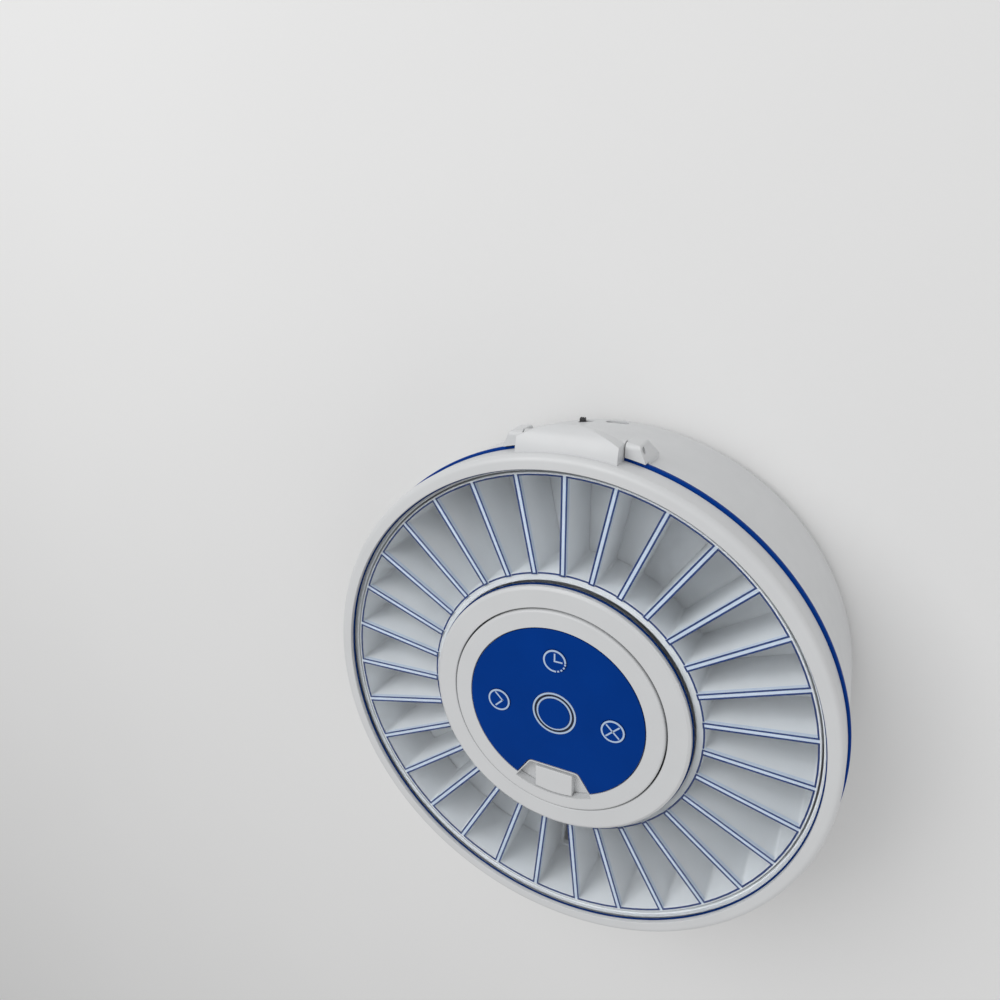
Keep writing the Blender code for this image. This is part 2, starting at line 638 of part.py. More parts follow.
def make_base_shell():
    start = BASE_BOTTOM + BOTTOM_ROUND
    turn_radius = base_outer_radius(start)
    wall_foot = turn_radius - SHELL_WALL
    inner_round = BOTTOM_ROUND - SHELL_WALL
    bottom = rounded_corner(
        (turn_radius - BOTTOM_ROUND, start), BOTTOM_ROUND, 0.0, FRONT_ANGLE, 3
    )
    profile = [
        (0.0, FLOOR_TOP),
        (wall_foot - inner_round, FLOOR_TOP),
        (wall_foot, FLOOR_TOP + inner_round),
        (BODY_RADIUS - SHELL_WALL, BASE_TOP),
        (BODY_RADIUS, BASE_TOP),
        *bottom,
        (0.0, BASE_BOTTOM),
    ]
    shell = turned("base_shell", profile, white())
    for side in (-1, 1):
        ear = extruded(
            "ear_plan", [ear_outline(side)], HINGE_LEVEL - EAR_DEPTH, HINGE_LEVEL + KNUCKLE_RADIUS
        )
        top = HINGE_LEVEL + KNUCKLE_RADIUS
        inner = BODY_RADIUS - 2 * SHELL_WALL
        nose = rounded_corner(
            (EAR_REACH - KNUCKLE_RADIUS, HINGE_LEVEL), KNUCKLE_RADIUS, REAR_ANGLE, 0.0, 4
        )
        profile = [
            (inner, HINGE_LEVEL - EAR_DEPTH),
            (inner, top),
            *nose,
            (EAR_REACH, HINGE_LEVEL - EAR_DEPTH + EAR_SLOPE_DEPTH),
            (BODY_RADIUS - SHELL_WALL, HINGE_LEVEL - EAR_DEPTH),
        ]
        side_view = stand_across(
            extruded("ear_side", [profile], -EAR_ROOT_X - OVERRUN, EAR_ROOT_X + OVERRUN)
        )
        keep_common(ear, side_view)
        inside = rod(
            "ear_inside_cut",
            SEAL_RADIUS + SEAT_GAP,
            (0, 0, BASE_TOP),
            LID_HEIGHT + SEAL_HEIGHT,
            steps=LARGE_STEPS,
        )
        cut(ear, inside)
        join(shell, ear)
    hollow = rod(
        "ear_hollow_cut",
        BODY_RADIUS - SHELL_WALL,
        (0, 0, HINGE_LEVEL - EAR_DEPTH - OVERRUN),
        EAR_DEPTH + KNUCKLE_RADIUS + 2 * OVERRUN,
        steps=LARGE_STEPS,
    )
    cut(shell, hollow)
    cut(shell, knuckle_room("shell_knuckle_cut"))
    cut(shell, hinge_bore("shell_pin_cut"))
    for angle in COLUMN_ANGLES:
        place = around(COLUMN_CIRCLE_RADIUS, angle)
        level = FLOOR_TOP - SEAT_GAP
        join(shell, rod("boss", BOSS_RADIUS, (*place, level), BOSS_HEIGHT + SEAT_GAP))
        hole = rod(
            "boss_hole",
            BASE_SCREW_RADIUS + SEAT_GAP,
            (*place, BASE_BOTTOM - OVERRUN),
            FLOOR_THICKNESS + BOSS_HEIGHT + 2 * OVERRUN,
            steps=PIN_STEPS,
        )
        head = rod(
            "boss_counterbore",
            BASE_SCREW_HEAD_RADIUS + SEAT_GAP,
            (*place, BASE_BOTTOM - OVERRUN),
            OVERRUN + BASE_SCREW_HEAD_HEIGHT + 2 * SEAT_GAP,
            steps=PIN_STEPS,
        )
        cut(cut(shell, hole), head)
    for x, y in standoff_places():
        foot = (x, y, FLOOR_TOP - SEAT_GAP)
        height = STANDOFF_HEIGHT + SEAT_GAP
        join(shell, rod("standoff", STANDOFF_RADIUS, foot, height, steps=PIN_STEPS))
    front = block(
        "drawer_mouth",
        (-DRAWER_HALF_WIDTH - RUN_GAP, -BODY_RADIUS - OVERRUN, DRAWER_BOTTOM - RUN_GAP),
        (DRAWER_HALF_WIDTH + RUN_GAP, -GUIDE_FRONT_REACH - RUN_GAP, DRAWER_TOP + RUN_GAP),
    )
    cut(shell, front)
    hatch = block(
        "battery_hatch",
        (HOLDER_START_X + HOLDER_WALL, -HOLDER_HALF_WIDTH + HOLDER_WALL, BASE_BOTTOM - OVERRUN),
        (HOLDER_END_X - HOLDER_WALL, HOLDER_HALF_WIDTH - HOLDER_WALL, FLOOR_TOP + OVERRUN),
    )
    cut(shell, hatch)
    for place in foot_places():
        seat = rod(
            "foot_seat",
            FOOT_RADIUS + SEAT_GAP,
            (*place, BASE_BOTTOM - OVERRUN),
            OVERRUN + FOOT_RECESS,
            steps=MEDIUM_STEPS,
        )
        cut(shell, seat)
    for i in range(GRILLE_SLOT_COUNT):
        offset = (i - (GRILLE_SLOT_COUNT - 1) / 2) * GRILLE_SLOT_PITCH
        x, y = SPEAKER_PLACE
        slot = block(
            "grille_slot",
            (x - GRILLE_SLOT_LENGTH / 2, y + offset - GRILLE_SLOT_WIDTH / 2, BASE_BOTTOM - OVERRUN),
            (x + GRILLE_SLOT_LENGTH / 2, y + offset + GRILLE_SLOT_WIDTH / 2, FLOOR_TOP + OVERRUN),
        )
        cut(shell, slot)
    usb_hole = block(
        "usb_hole",
        (-USB_SIZE[0] / 2 - USB_HOLE_MARGIN, MAIN_BOARD_REAR, PARTS_LEVEL - USB_HOLE_MARGIN),
        (
            USB_SIZE[0] / 2 + USB_HOLE_MARGIN,
            BODY_RADIUS + OVERRUN,
            PARTS_LEVEL + USB_SIZE[2] + USB_HOLE_MARGIN,
        ),
    )
    cut(shell, usb_hole)
    knob_low, knob_high = knob_corners()
    knob_slot = block(
        "knob_slot",
        (knob_low[0] - KNOB_ROOM, SWITCH_BODY_REACH, knob_low[2] - KNOB_ROOM),
        (knob_high[0] + KNOB_TRAVEL + KNOB_ROOM, BODY_RADIUS + OVERRUN, knob_high[2] + KNOB_ROOM),
    )
    cut(shell, knob_slot)
    return shell


def knuckle_room(name):
    """The space that the lid's knuckle turns in."""
    return rod(
        name,
        KNUCKLE_RADIUS + RUN_GAP,
        (-EAR_INNER_X, HINGE_AXIS_REACH, HINGE_LEVEL),
        2 * EAR_INNER_X,
        axis="X",
        steps=MEDIUM_STEPS,
    )


def hinge_bore(name):
    reach = EAR_OUTER_X + 2 * OVERRUN
    return rod(
        name,
        HINGE_PIN_RADIUS + SEAT_GAP,
        (-reach, HINGE_AXIS_REACH, HINGE_LEVEL),
        2 * reach,
        axis="X",
    )


def standoff_places():
    x = MAIN_BOARD_HALF_WIDTH - STANDOFF_INSET
    front = MAIN_BOARD_FRONT + STANDOFF_INSET
    rear = MAIN_BOARD_REAR - STANDOFF_INSET
    return [(-x, front), (x, front), (-x, rear), (x, rear)]


def foot_places():
    return [around(FOOT_CIRCLE_RADIUS, angle) for angle in FOOT_ANGLES]


def knob_corners():
    """The power switch's knob at rest, at the left end of its travel."""
    x = SWITCH_CENTRE_X - KNOB_TRAVEL / 2
    level = PARTS_LEVEL + (SWITCH_BODY_SIZE[2] - KNOB_SIZE[2]) / 2
    low = (x - KNOB_SIZE[0] / 2, KNOB_REACH - KNOB_SIZE[1], level)
    high = (x + KNOB_SIZE[0] / 2, KNOB_REACH, level + KNOB_SIZE[2])
    return low, high


def make_rubber_feet():
    top = BASE_BOTTOM + FOOT_RECESS - SEAT_GAP
    edge = FOOT_STAND / 2
    feet = []
    rubber = plastic("rubber", BLACK, 0.8)
    for i, place in enumerate(foot_places()):
        profile = [
            (0.0, top),
            (FOOT_RADIUS, top),
            (FOOT_RADIUS, edge),
            (FOOT_RADIUS - edge, 0.0),
            (0.0, 0.0),
        ]
        feet.append(turned(f"rubber_foot_{i + 1}", profile, rubber, FOOT_STEPS, place))
    return feet


def make_seal_band():
    inner = BODY_RADIUS - SHELL_WALL + SEAT_GAP
    profile = [
        (inner, SEAL_TOP),
        (SEAL_RADIUS - SEAL_BEAD, SEAL_TOP),
        (SEAL_RADIUS, SEAL_TOP - SEAL_BEAD),
        (SEAL_RADIUS, SEAL_BOTTOM + SEAL_BEAD),
        (SEAL_RADIUS - SEAL_BEAD, SEAL_BOTTOM),
        (inner, SEAL_BOTTOM),
    ]
    return cut(turned("seal_band", profile, blue()), knuckle_room("seal_knuckle_cut"))


def make_deck():
    profile = [
        (DECK_HOLE_RADIUS, DECK_TOP),
        (WELL_INNER_RADIUS, DECK_TOP),
        (WELL_INNER_RADIUS, WELL_TOP),
        (WELL_OUTER_RADIUS, WELL_TOP),
        (WELL_OUTER_RADIUS, DECK_TOP),
        (DECK_RADIUS, DECK_TOP),
        (DECK_RADIUS, DECK_BOTTOM),
        (DECK_HOLE_RADIUS, DECK_BOTTOM),
    ]
    deck = turned("deck", profile, plastic("tray_plastic", TRAY_WHITE, 0.4))
    column_bottom = FLOOR_TOP + BOSS_HEIGHT + SEAT_GAP
    for angle in COLUMN_ANGLES:
        place = around(COLUMN_CIRCLE_RADIUS, angle)
        height = DECK_BOTTOM - column_bottom + SEAT_GAP
        join(deck, rod("column", COLUMN_RADIUS, (*place, column_bottom), height, steps=PIN_STEPS))
        hole = rod(
            "column_hole",
            BASE_SCREW_RADIUS + SEAT_GAP,
            (*place, column_bottom - OVERRUN),
            BASE_SCREW_GRIP + SEAT_GAP + OVERRUN,
            steps=PIN_STEPS,
        )
        cut(deck, hole)
    cut(
        deck,
        extruded(
            "drop_hole",
            [compartment_outline(FRONT_ANGLE, DROP_HOLE_MARGIN)],
            DECK_BOTTOM - OVERRUN,
            DECK_TOP + OVERRUN,
        ),
    )
    shaft_hole = rod(
        "shaft_hole",
        SHAFT_HOLE_RADIUS,
        (*PINION_PLACE, DECK_BOTTOM - OVERRUN),
        DECK_THICKNESS + 2 * OVERRUN,
    )
    cut(deck, shaft_hole)
    for angle in HUB_SCREW_ANGLES:
        hole = rod(
            "hub_screw_hole",
            HUB_SCREW_RADIUS + SEAT_GAP,
            (*around(HUB_SCREW_CIRCLE_RADIUS, angle), DECK_BOTTOM - OVERRUN),
            DECK_THICKNESS + 2 * OVERRUN,
            steps=PIN_STEPS,
        )
        cut(deck, hole)
    return deck


def compartment_outline(centre, margin=0.0):
    """One compartment, with side walls of even thickness, drawn in by a margin."""
    half = COMPARTMENT_PITCH / 2
    side = DIVIDER_WIDTH / 2 + margin
    outer = COMPARTMENT_OUTER_RADIUS - margin
    inner = COMPARTMENT_INNER_RADIUS + margin
    outer_half = half - math.asin(side / outer)
    inner_half = half - math.asin(side / inner)
    return arc(outer, centre - outer_half, centre + outer_half, 3) + arc(
        inner, centre + inner_half, centre - inner_half, 2
    )


def gear_outline(teeth, pitch_radius, phase, outward):
    """Straight-sided teeth. Outward is 1 for a pinion and -1 for a ring gear's inner side."""
    pitch = 2 * math.pi / teeth
    tip = pitch_radius + outward * ADDENDUM_SHARE * GEAR_MODULE
    root = pitch_radius - outward * DEDENDUM_SHARE * GEAR_MODULE
    points = []
    for i in range(teeth):
        middle = phase + i * pitch
        for radius, share in (
            (root, -TOOTH_ROOT_SHARE / 2),
            (tip, -TOOTH_TIP_SHARE / 2),
            (tip, TOOTH_TIP_SHARE / 2),
            (root, TOOTH_ROOT_SHARE / 2),
        ):
            points.append(around(radius, middle + share * pitch))
    return points


def make_carousel_tray():
    outer_steps = 3 * COMPARTMENT_COUNT
    inner_steps = 2 * COMPARTMENT_COUNT
    loops = [
        circle(COMPARTMENT_OUTER_RADIUS + TRAY_OUTER_WALL, outer_steps),
        circle(COMPARTMENT_INNER_RADIUS - TRAY_INNER_WALL, inner_steps),
    ]
    for i in range(COMPARTMENT_COUNT):
        loops.append(compartment_outline(REAR_ANGLE + (i + 0.5) * COMPARTMENT_PITCH))
    tray = extruded(
        "carousel_tray", loops, TRAY_BOTTOM, TRAY_TOP, plastic("tray_plastic", TRAY_WHITE, 0.4)
    )
    rim = COMPARTMENT_INNER_RADIUS - TRAY_INNER_WALL / 2
    gap_phase = math.pi + math.pi / RING_GEAR_TEETH
    teeth = gear_outline(RING_GEAR_TEETH, GEAR_PITCH_RADIUS, gap_phase, -1)
    loops = [circle(rim, inner_steps), teeth]
    join(tray, extruded("ring_gear", loops, TRAY_BOTTOM, TRAY_BOTTOM + GEAR_FACE))
    lip = COMPARTMENT_INNER_RADIUS - TRAY_INNER_WALL - TRAY_FLANGE_WIDTH
    loops = [circle(rim, inner_steps), circle(lip, inner_steps)]
    return join(tray, extruded("tray_flange", loops, TRAY_TOP - TRAY_FLANGE_THICKNESS, TRAY_TOP))


def make_drive_pinion():
    bottom = TRAY_BOTTOM + (GEAR_FACE - PINION_FACE) / 2
    teeth = gear_outline(PINION_TEETH, PINION_PITCH_RADIUS, math.pi, 1)
    pinion = extruded(
        "drive_pinion", [teeth], bottom, bottom + PINION_FACE, plastic("gear_plastic", STEEL, 0.5)
    )
    pinion.data.transform(Matrix.Translation((*PINION_PLACE, 0)))
    bore = rod(
        "pinion_bore",
        SHAFT_RADIUS + SEAT_GAP,
        (*PINION_PLACE, bottom - OVERRUN),
        PINION_FACE + 2 * OVERRUN,
    )
    return cut(pinion, bore)


def make_motor_shaft():
    length = TRAY_BOTTOM + GEAR_FACE - GEARBOX_TOP - SEAT_GAP
    return rod("motor_shaft", SHAFT_RADIUS, (*PINION_PLACE, GEARBOX_TOP + SEAT_GAP), length, steel())


def make_gearmotor():
    gearbox = rod(
        "gearmotor_gearbox",
        MOTOR_CAN_RADIUS,
        (*PINION_PLACE, GEARBOX_BOTTOM),
        GEARBOX_HEIGHT,
        grey(),
        steps=MEDIUM_STEPS,
    )
    x, y = PINION_PLACE
    ears = block(
        "gearbox_ears",
        (x - GEARBOX_EAR_HALF_WIDTH, y - GEARBOX_EAR_HALF_LENGTH, GEARBOX_TOP - GEARBOX_EAR_THICKNESS),
        (x + GEARBOX_EAR_HALF_WIDTH, y + GEARBOX_EAR_HALF_LENGTH, GEARBOX_TOP),
    )
    join(gearbox, ears)
    can_top = GEARBOX_BOTTOM - SEAT_GAP
    can = rod(
        "gearmotor_can",
        MOTOR_CAN_RADIUS,
        (*PINION_PLACE, can_top - MOTOR_CAN_HEIGHT),
        MOTOR_CAN_HEIGHT,
        steel(),
        steps=MEDIUM_STEPS,
    )
    return gearbox, can


def make_hub_base():
    wall = HUB_RADIUS - HUB_WALL - RUN_GAP
    profile = [
        (NECK_RADIUS - NECK_WALL, HUB_FLOOR_TOP),
        (wall - HUB_SPIGOT_WALL, HUB_FLOOR_TOP),
        (wall - HUB_SPIGOT_WALL, HUB_FLOOR_TOP + HUB_SPIGOT_HEIGHT),
        (wall, HUB_FLOOR_TOP + HUB_SPIGOT_HEIGHT),
        (wall, HUB_FLOOR_BOTTOM),
        (NECK_RADIUS, HUB_FLOOR_BOTTOM),
        (NECK_RADIUS, DECK_TOP + SEAT_GAP),
        (NECK_RADIUS - NECK_WALL - NECK_FLANGE_WIDTH, DECK_TOP + SEAT_GAP),
        (NECK_RADIUS - NECK_WALL - NECK_FLANGE_WIDTH, DECK_TOP + SEAT_GAP + NECK_FLANGE_THICKNESS),
        (NECK_RADIUS - NECK_WALL, DECK_TOP + SEAT_GAP + NECK_FLANGE_THICKNESS),
    ]
    hub = turned("hub_base", profile, white(), steps=HUB_STEPS)
    post_bottom = HUB_FLOOR_TOP - SEAT_GAP
    post_height = CONTROL_BOARD_BOTTOM - SEAT_GAP - post_bottom
    for angle in POST_ANGLES:
        place = around(POST_CIRCLE_RADIUS, angle)
        join(hub, rod("board_post", POST_RADIUS, (*place, post_bottom), post_height, steps=PIN_STEPS))
    for angle in HUB_SCREW_ANGLES:
        hole = rod(
            "flange_hole",
            HUB_SCREW_RADIUS + SEAT_GAP,
            (*around(HUB_SCREW_CIRCLE_RADIUS, angle), DECK_TOP - OVERRUN),
            NECK_FLANGE_THICKNESS + 2 * OVERRUN,
            steps=PIN_STEPS,
        )
        cut(hub, hole)
    return hub


def recess_outline(rim):
    """The finger recess: a trapezoid with two rounded corners, closed by an arc at the front."""
    top_y = -RECESS_TOP_REACH + rim
    lean = math.atan2(
        RECESS_BOTTOM_HALF_WIDTH - RECESS_TOP_HALF_WIDTH, RECESS_BOTTOM_REACH - RECESS_TOP_REACH
    )
    points = []
    for side in (1, -1):
        corner_x = RECESS_TOP_HALF_WIDTH - RECESS_CORNER / 2
        centre = (side * corner_x, -RECESS_TOP_REACH - RECESS_CORNER)
        corner = rounded_corner(
            centre, RECESS_CORNER + rim, REAR_ANGLE, REAR_ANGLE - side * (REAR_ANGLE - lean), 3
        )
        foot_x = side * (RECESS_BOTTOM_HALF_WIDTH + rim * math.cos(lean))
        foot = (foot_x, -RECESS_BOTTOM_REACH)
        points.append((corner, foot))
    (right_corner, right_foot), (left_corner, left_foot) = points
    radius = RECESS_ARC_RADIUS
    right_angle = math.atan2(right_foot[1], right_foot[0])
    left_angle = math.atan2(left_foot[1], left_foot[0])
    front = arc(radius, right_angle, left_angle, 6)
    return right_corner + front + left_corner[::-1]


def make_hub_cover():
    rim_start = PANEL_RADIUS + RUN_GAP
    profile = [
        (0.0, HUB_SEAT),
        (rim_start, HUB_SEAT),
        (rim_start, HUB_TOP),
        (HUB_RADIUS - HUB_EDGE_ROUND, HUB_TOP),
        (HUB_RADIUS, HUB_TOP - HUB_EDGE_ROUND),
        (HUB_RADIUS, HUB_COVER_BOTTOM),
        (HUB_RADIUS - HUB_WALL, HUB_COVER_BOTTOM),
        (HUB_RADIUS - HUB_WALL, HUB_PLATE_BOTTOM),
        (0.0, HUB_PLATE_BOTTOM),
    ]
    cover = turned("hub_cover", profile, white(), steps=HUB_STEPS)
    collar = extruded(
        "recess_collar", [recess_outline(RECESS_RIM - RUN_GAP)], HUB_SEAT - SEAT_GAP, HUB_TOP
    )
    join(cover, collar)
    recess = extruded(
        "recess_cut", [recess_outline(0.0)], HUB_PLATE_BOTTOM - OVERRUN, HUB_TOP + OVERRUN
    )
    cut(cover, recess)
    tongue_slot = block(
        "tongue_slot",
        (
            -LATCH_TONGUE_HALF_WIDTH - RUN_GAP,
            -HUB_RADIUS - OVERRUN,
            LATCH_PLATE_BOTTOM - RUN_GAP,
        ),
        (
            LATCH_TONGUE_HALF_WIDTH + RUN_GAP,
            -HUB_RADIUS + HUB_WALL + OVERRUN,
            HUB_PLATE_BOTTOM,
        ),
    )
    cut(cover, tongue_slot)
    post = block(
        "spring_post",
        (-LATCH_TAB_HALF_WIDTH, -LATCH_POST_REACH, LATCH_PLATE_TOP - LATCH_TAB_HEIGHT),
        (LATCH_TAB_HALF_WIDTH, -LATCH_POST_REACH + LATCH_POST_THICKNESS, HUB_PLATE_BOTTOM + SEAT_GAP),
    )
    join(cover, post)
    for place in (CLOCK_PLACE, NEXT_PLACE, CANCEL_PLACE):
        cut(cover, button_hole("cover_button_hole", place, BUTTON_RADIUS))
    cut(cover, button_hole("cover_centre_hole", CENTRE_PLACE, CENTRE_BUTTON_RADIUS))
    return cover


def button_hole(name, place, radius):
    return rod(
        name,
        radius + RUN_GAP,
        (*place, HUB_PLATE_BOTTOM - OVERRUN),
        HUB_TOP - HUB_PLATE_BOTTOM + 2 * OVERRUN,
        steps=MEDIUM_STEPS,
    )


def make_control_panel():
    panel = rod(
        "control_panel",
        PANEL_RADIUS,
        (0, 0, PANEL_BOTTOM),
        PANEL_THICKNESS,
        blue(),
        steps=HUB_STEPS,
    )
    notch = extruded(
        "panel_notch", [recess_outline(RECESS_RIM)], PANEL_BOTTOM - OVERRUN, HUB_TOP + OVERRUN
    )
    cut(panel, notch)
    for place in (CLOCK_PLACE, NEXT_PLACE, CANCEL_PLACE):
        cut(panel, button_hole("panel_button_hole", place, BUTTON_RADIUS))
    return cut(panel, button_hole("panel_light_hole", CENTRE_PLACE, LIGHT_RING_OUTER_RADIUS))


def make_light_ring():
    outer = LIGHT_RING_OUTER_RADIUS
    inner = outer - LIGHT_RING_WIDTH
    profile = [(inner, HUB_TOP), (outer, HUB_TOP), (outer, PANEL_BOTTOM), (inner, PANEL_BOTTOM)]
    return turned("light_ring", profile, plastic("light_guide", LIGHT_TINT, 0.3), MEDIUM_STEPS)


def make_button(name, place, radius):
    edge = BUTTON_EDGE_ROUND
    profile = [
        (0.0, BUTTON_TOP),
        (radius - edge, BUTTON_TOP),
        (radius, BUTTON_TOP - edge),
        (radius, FLANGE_TOP),
        (radius + BUTTON_FLANGE, FLANGE_TOP),
        (radius + BUTTON_FLANGE, FLANGE_BOTTOM),
        (BUTTON_STEM_RADIUS, FLANGE_BOTTOM),
        (BUTTON_STEM_RADIUS, STEM_BOTTOM),
        (0.0, STEM_BOTTOM),
    ]
    return turned(name, profile, blue(), MEDIUM_STEPS, place)


def make_plunger(name, place):
    bottom = SWITCH_BOTTOM + PLUNGER_FOOT_ROOM
    return rod(
        name, PLUNGER_RADIUS, (*place, bottom), PLUNGER_TOP - bottom, black(), steps=SMALL_STEPS
    )


def make_tact_switches():
    cases = []
    size = (SWITCH_SIDE, SWITCH_SIDE, SWITCH_HEIGHT)
    for label, place, radius in BUTTONS:
        case = block_on(f"tact_switch_{label}", size, place, SWITCH_BOTTOM, steel())
        bore = rod(
            "switch_bore",
            PLUNGER_RADIUS + PLUNGER_BORE_GAP,
            (*place, SWITCH_BOTTOM + SWITCH_BED),
            SWITCH_HEIGHT + OVERRUN,
        )
        cases.append(cut(case, bore))
    return cases


def make_control_board():
    return rod(
        "control_board",
        CONTROL_BOARD_RADIUS,
        (0, 0, CONTROL_BOARD_BOTTOM),
        BOARD_THICKNESS,
        plastic("circuit_board", BOARD_GREEN, 0.4),
        steps=MEDIUM_STEPS,
    )


def make_latch_slider():
    latch = block(
        "latch_slider",
        (-LATCH_PLATE_HALF_WIDTH, -LATCH_PLATE_REACH, LATCH_PLATE_BOTTOM),
        (LATCH_PLATE_HALF_WIDTH, -LATCH_PLATE_START, LATCH_PLATE_TOP),
        white(),
    )
    bounds = rod(
        "latch_bounds",
        HUB_RADIUS - HUB_WALL - RUN_GAP,
        (0, 0, LATCH_PLATE_BOTTOM - OVERRUN),
        LATCH_PLATE_THICKNESS + 2 * OVERRUN,
        steps=HUB_STEPS,
    )
    keep_common(latch, bounds)
    tongue = block(
        "latch_tongue",
        (-LATCH_TONGUE_HALF_WIDTH, -INNER_RING_INNER_RADIUS - LATCH_CATCH, LATCH_PLATE_BOTTOM),
        (LATCH_TONGUE_HALF_WIDTH, -LATCH_TOP_REACH, LATCH_PLATE_TOP),
    )
    join(latch, tongue)
    front = RECESS_ARC_RADIUS - RUN_GAP
    half = math.asin(LATCH_HALF_WIDTH / front)
    outline = arc(front, FRONT_ANGLE - half, FRONT_ANGLE + half, 4)
    outline += [(LATCH_HALF_WIDTH, -LATCH_TOP_REACH), (-LATCH_HALF_WIDTH, -LATCH_TOP_REACH)]
    button = extruded(
        "latch_button", [outline], LATCH_PLATE_TOP - SEAT_GAP, HUB_TOP - LATCH_BUTTON_DEPTH
    )
    join(latch, button)
    tab = block(
        "latch_tab",
        (
            -LATCH_TAB_HALF_WIDTH,
            -LATCH_PLATE_START - LATCH_TAB_THICKNESS,
            LATCH_PLATE_TOP - LATCH_TAB_HEIGHT,
        ),
        (LATCH_TAB_HALF_WIDTH, -LATCH_PLATE_START, LATCH_PLATE_BOTTOM + SEAT_GAP),
    )
    return join(latch, tab)


def make_latch_spring():
    """A coil between the latch's tab and the post on the hub cover."""
    start = -LATCH_PLATE_START + SEAT_GAP + SPRING_WIRE_RADIUS
    end = -LATCH_POST_REACH - SEAT_GAP - SPRING_WIRE_RADIUS
    level = LATCH_PLATE_TOP - SPRING_COIL_RADIUS - SPRING_WIRE_RADIUS
    curve = bpy.data.curves.new("latch_spring", "CURVE")
    curve.dimensions = "3D"
    curve.bevel_depth = SPRING_WIRE_RADIUS
    curve.bevel_resolution = 1
    curve.use_fill_caps = True
    turns = round((end - start) / SPRING_PITCH)
    count = turns * SPRING_POINTS_PER_TURN
    spline = curve.splines.new("POLY")
    spline.points.add(count)
    for i, point in enumerate(spline.points):
        angle = 2 * math.pi * i / SPRING_POINTS_PER_TURN
        x, z = around(SPRING_COIL_RADIUS, angle)
        point.co = (x, start + (end - start) * i / count, level + z, 1.0)
    pitch = (end - start) / turns
    print(f"latch_spring: least gap between turns {1000 * (pitch - 2 * SPRING_WIRE_RADIUS):.2f} mm")
    made = bpy.data.objects.new("latch_spring", curve)
    curve.materials.append(steel())
    PARTS.objects.link(made)
    return made


def make_lid_frame():
    top = LID_TOP
    outer = BODY_RADIUS
    edge = rounded_corner(
        (outer - LID_EDGE_ROUND, top - LID_EDGE_ROUND), LID_EDGE_ROUND, REAR_ANGLE, 0.0, 3
    )
    seat = WINDOW_OUTER_RADIUS + SEAT_GAP
    skirt_top = WINDOW_BOTTOM - WINDOW_SKIRT
    profile = [
        (LID_FRAME_INNER_RADIUS, top),
        *edge,
        (outer, LID_BOTTOM),
        (outer - LID_WALL, LID_BOTTOM),
        (outer - LID_WALL, skirt_top - LID_WALL / 2),
        (seat, skirt_top),
        (seat, LIP_BOTTOM),
        (LID_FRAME_INNER_RADIUS, LIP_BOTTOM),
    ]
    frame = turned("lid_frame", profile, white())
    half = math.asin(TONGUE_HALF_WIDTH / TONGUE_RADIUS)
    front = [
        (x, y + TONGUE_CENTRE_Y)
        for x, y in arc(TONGUE_RADIUS, REAR_ANGLE - half, REAR_ANGLE + half, 12)
    ]
    inside = BODY_RADIUS - LID_WALL
    root_half = math.asin(TONGUE_HALF_WIDTH / inside)
    root = arc(inside, REAR_ANGLE + root_half, REAR_ANGLE - root_half, 8)
    tongue = extruded("tongue_plan", [front + root], LID_BOTTOM, LID_BOTTOM + TONGUE_RISE + OVERRUN)
    crown = rounded_corner((0.0, 0.0), 1.0, REAR_ANGLE, 0.0, 5)
    reach = TONGUE_REACH - inside
    hood = [
        (inside + reach * y_share, LID_BOTTOM + TONGUE_RISE * z_share)
        for y_share, z_share in crown
    ]
    hood = [(inside, LID_BOTTOM - OVERRUN)] + hood + [(TONGUE_REACH, LID_BOTTOM - OVERRUN)]
    side_view = stand_across(
        extruded("tongue_side", [hood], -TONGUE_HALF_WIDTH - OVERRUN, TONGUE_HALF_WIDTH + OVERRUN)
    )
    keep_common(tongue, side_view)
    join(frame, tongue)
    knuckle = rod(
        "knuckle",
        KNUCKLE_RADIUS,
        (-TONGUE_HALF_WIDTH, HINGE_AXIS_REACH, HINGE_LEVEL),
        2 * TONGUE_HALF_WIDTH,
        axis="X",
        steps=MEDIUM_STEPS,
    )
    join(frame, knuckle)
    return cut(frame, hinge_bore("knuckle_pin_cut"))


def make_hinge_pin():
    return rod(
        "hinge_pin",
        HINGE_PIN_RADIUS,
        (-EAR_OUTER_X + SEAT_GAP, HINGE_AXIS_REACH, HINGE_LEVEL),
        2 * (EAR_OUTER_X - SEAT_GAP),
        steel(),
        axis="X",
    )


def make_lid_window():
    profile = [
        (WINDOW_INNER_RADIUS, WINDOW_TOP),
        (WINDOW_OUTER_RADIUS, WINDOW_TOP),
        (WINDOW_OUTER_RADIUS, WINDOW_BOTTOM),
        (WINDOW_INNER_RADIUS, WINDOW_BOTTOM),
    ]
    return turned("lid_window", profile, plastic("clear_plastic", CLEAR_TINT, 0.05, 0.0, 0.3))


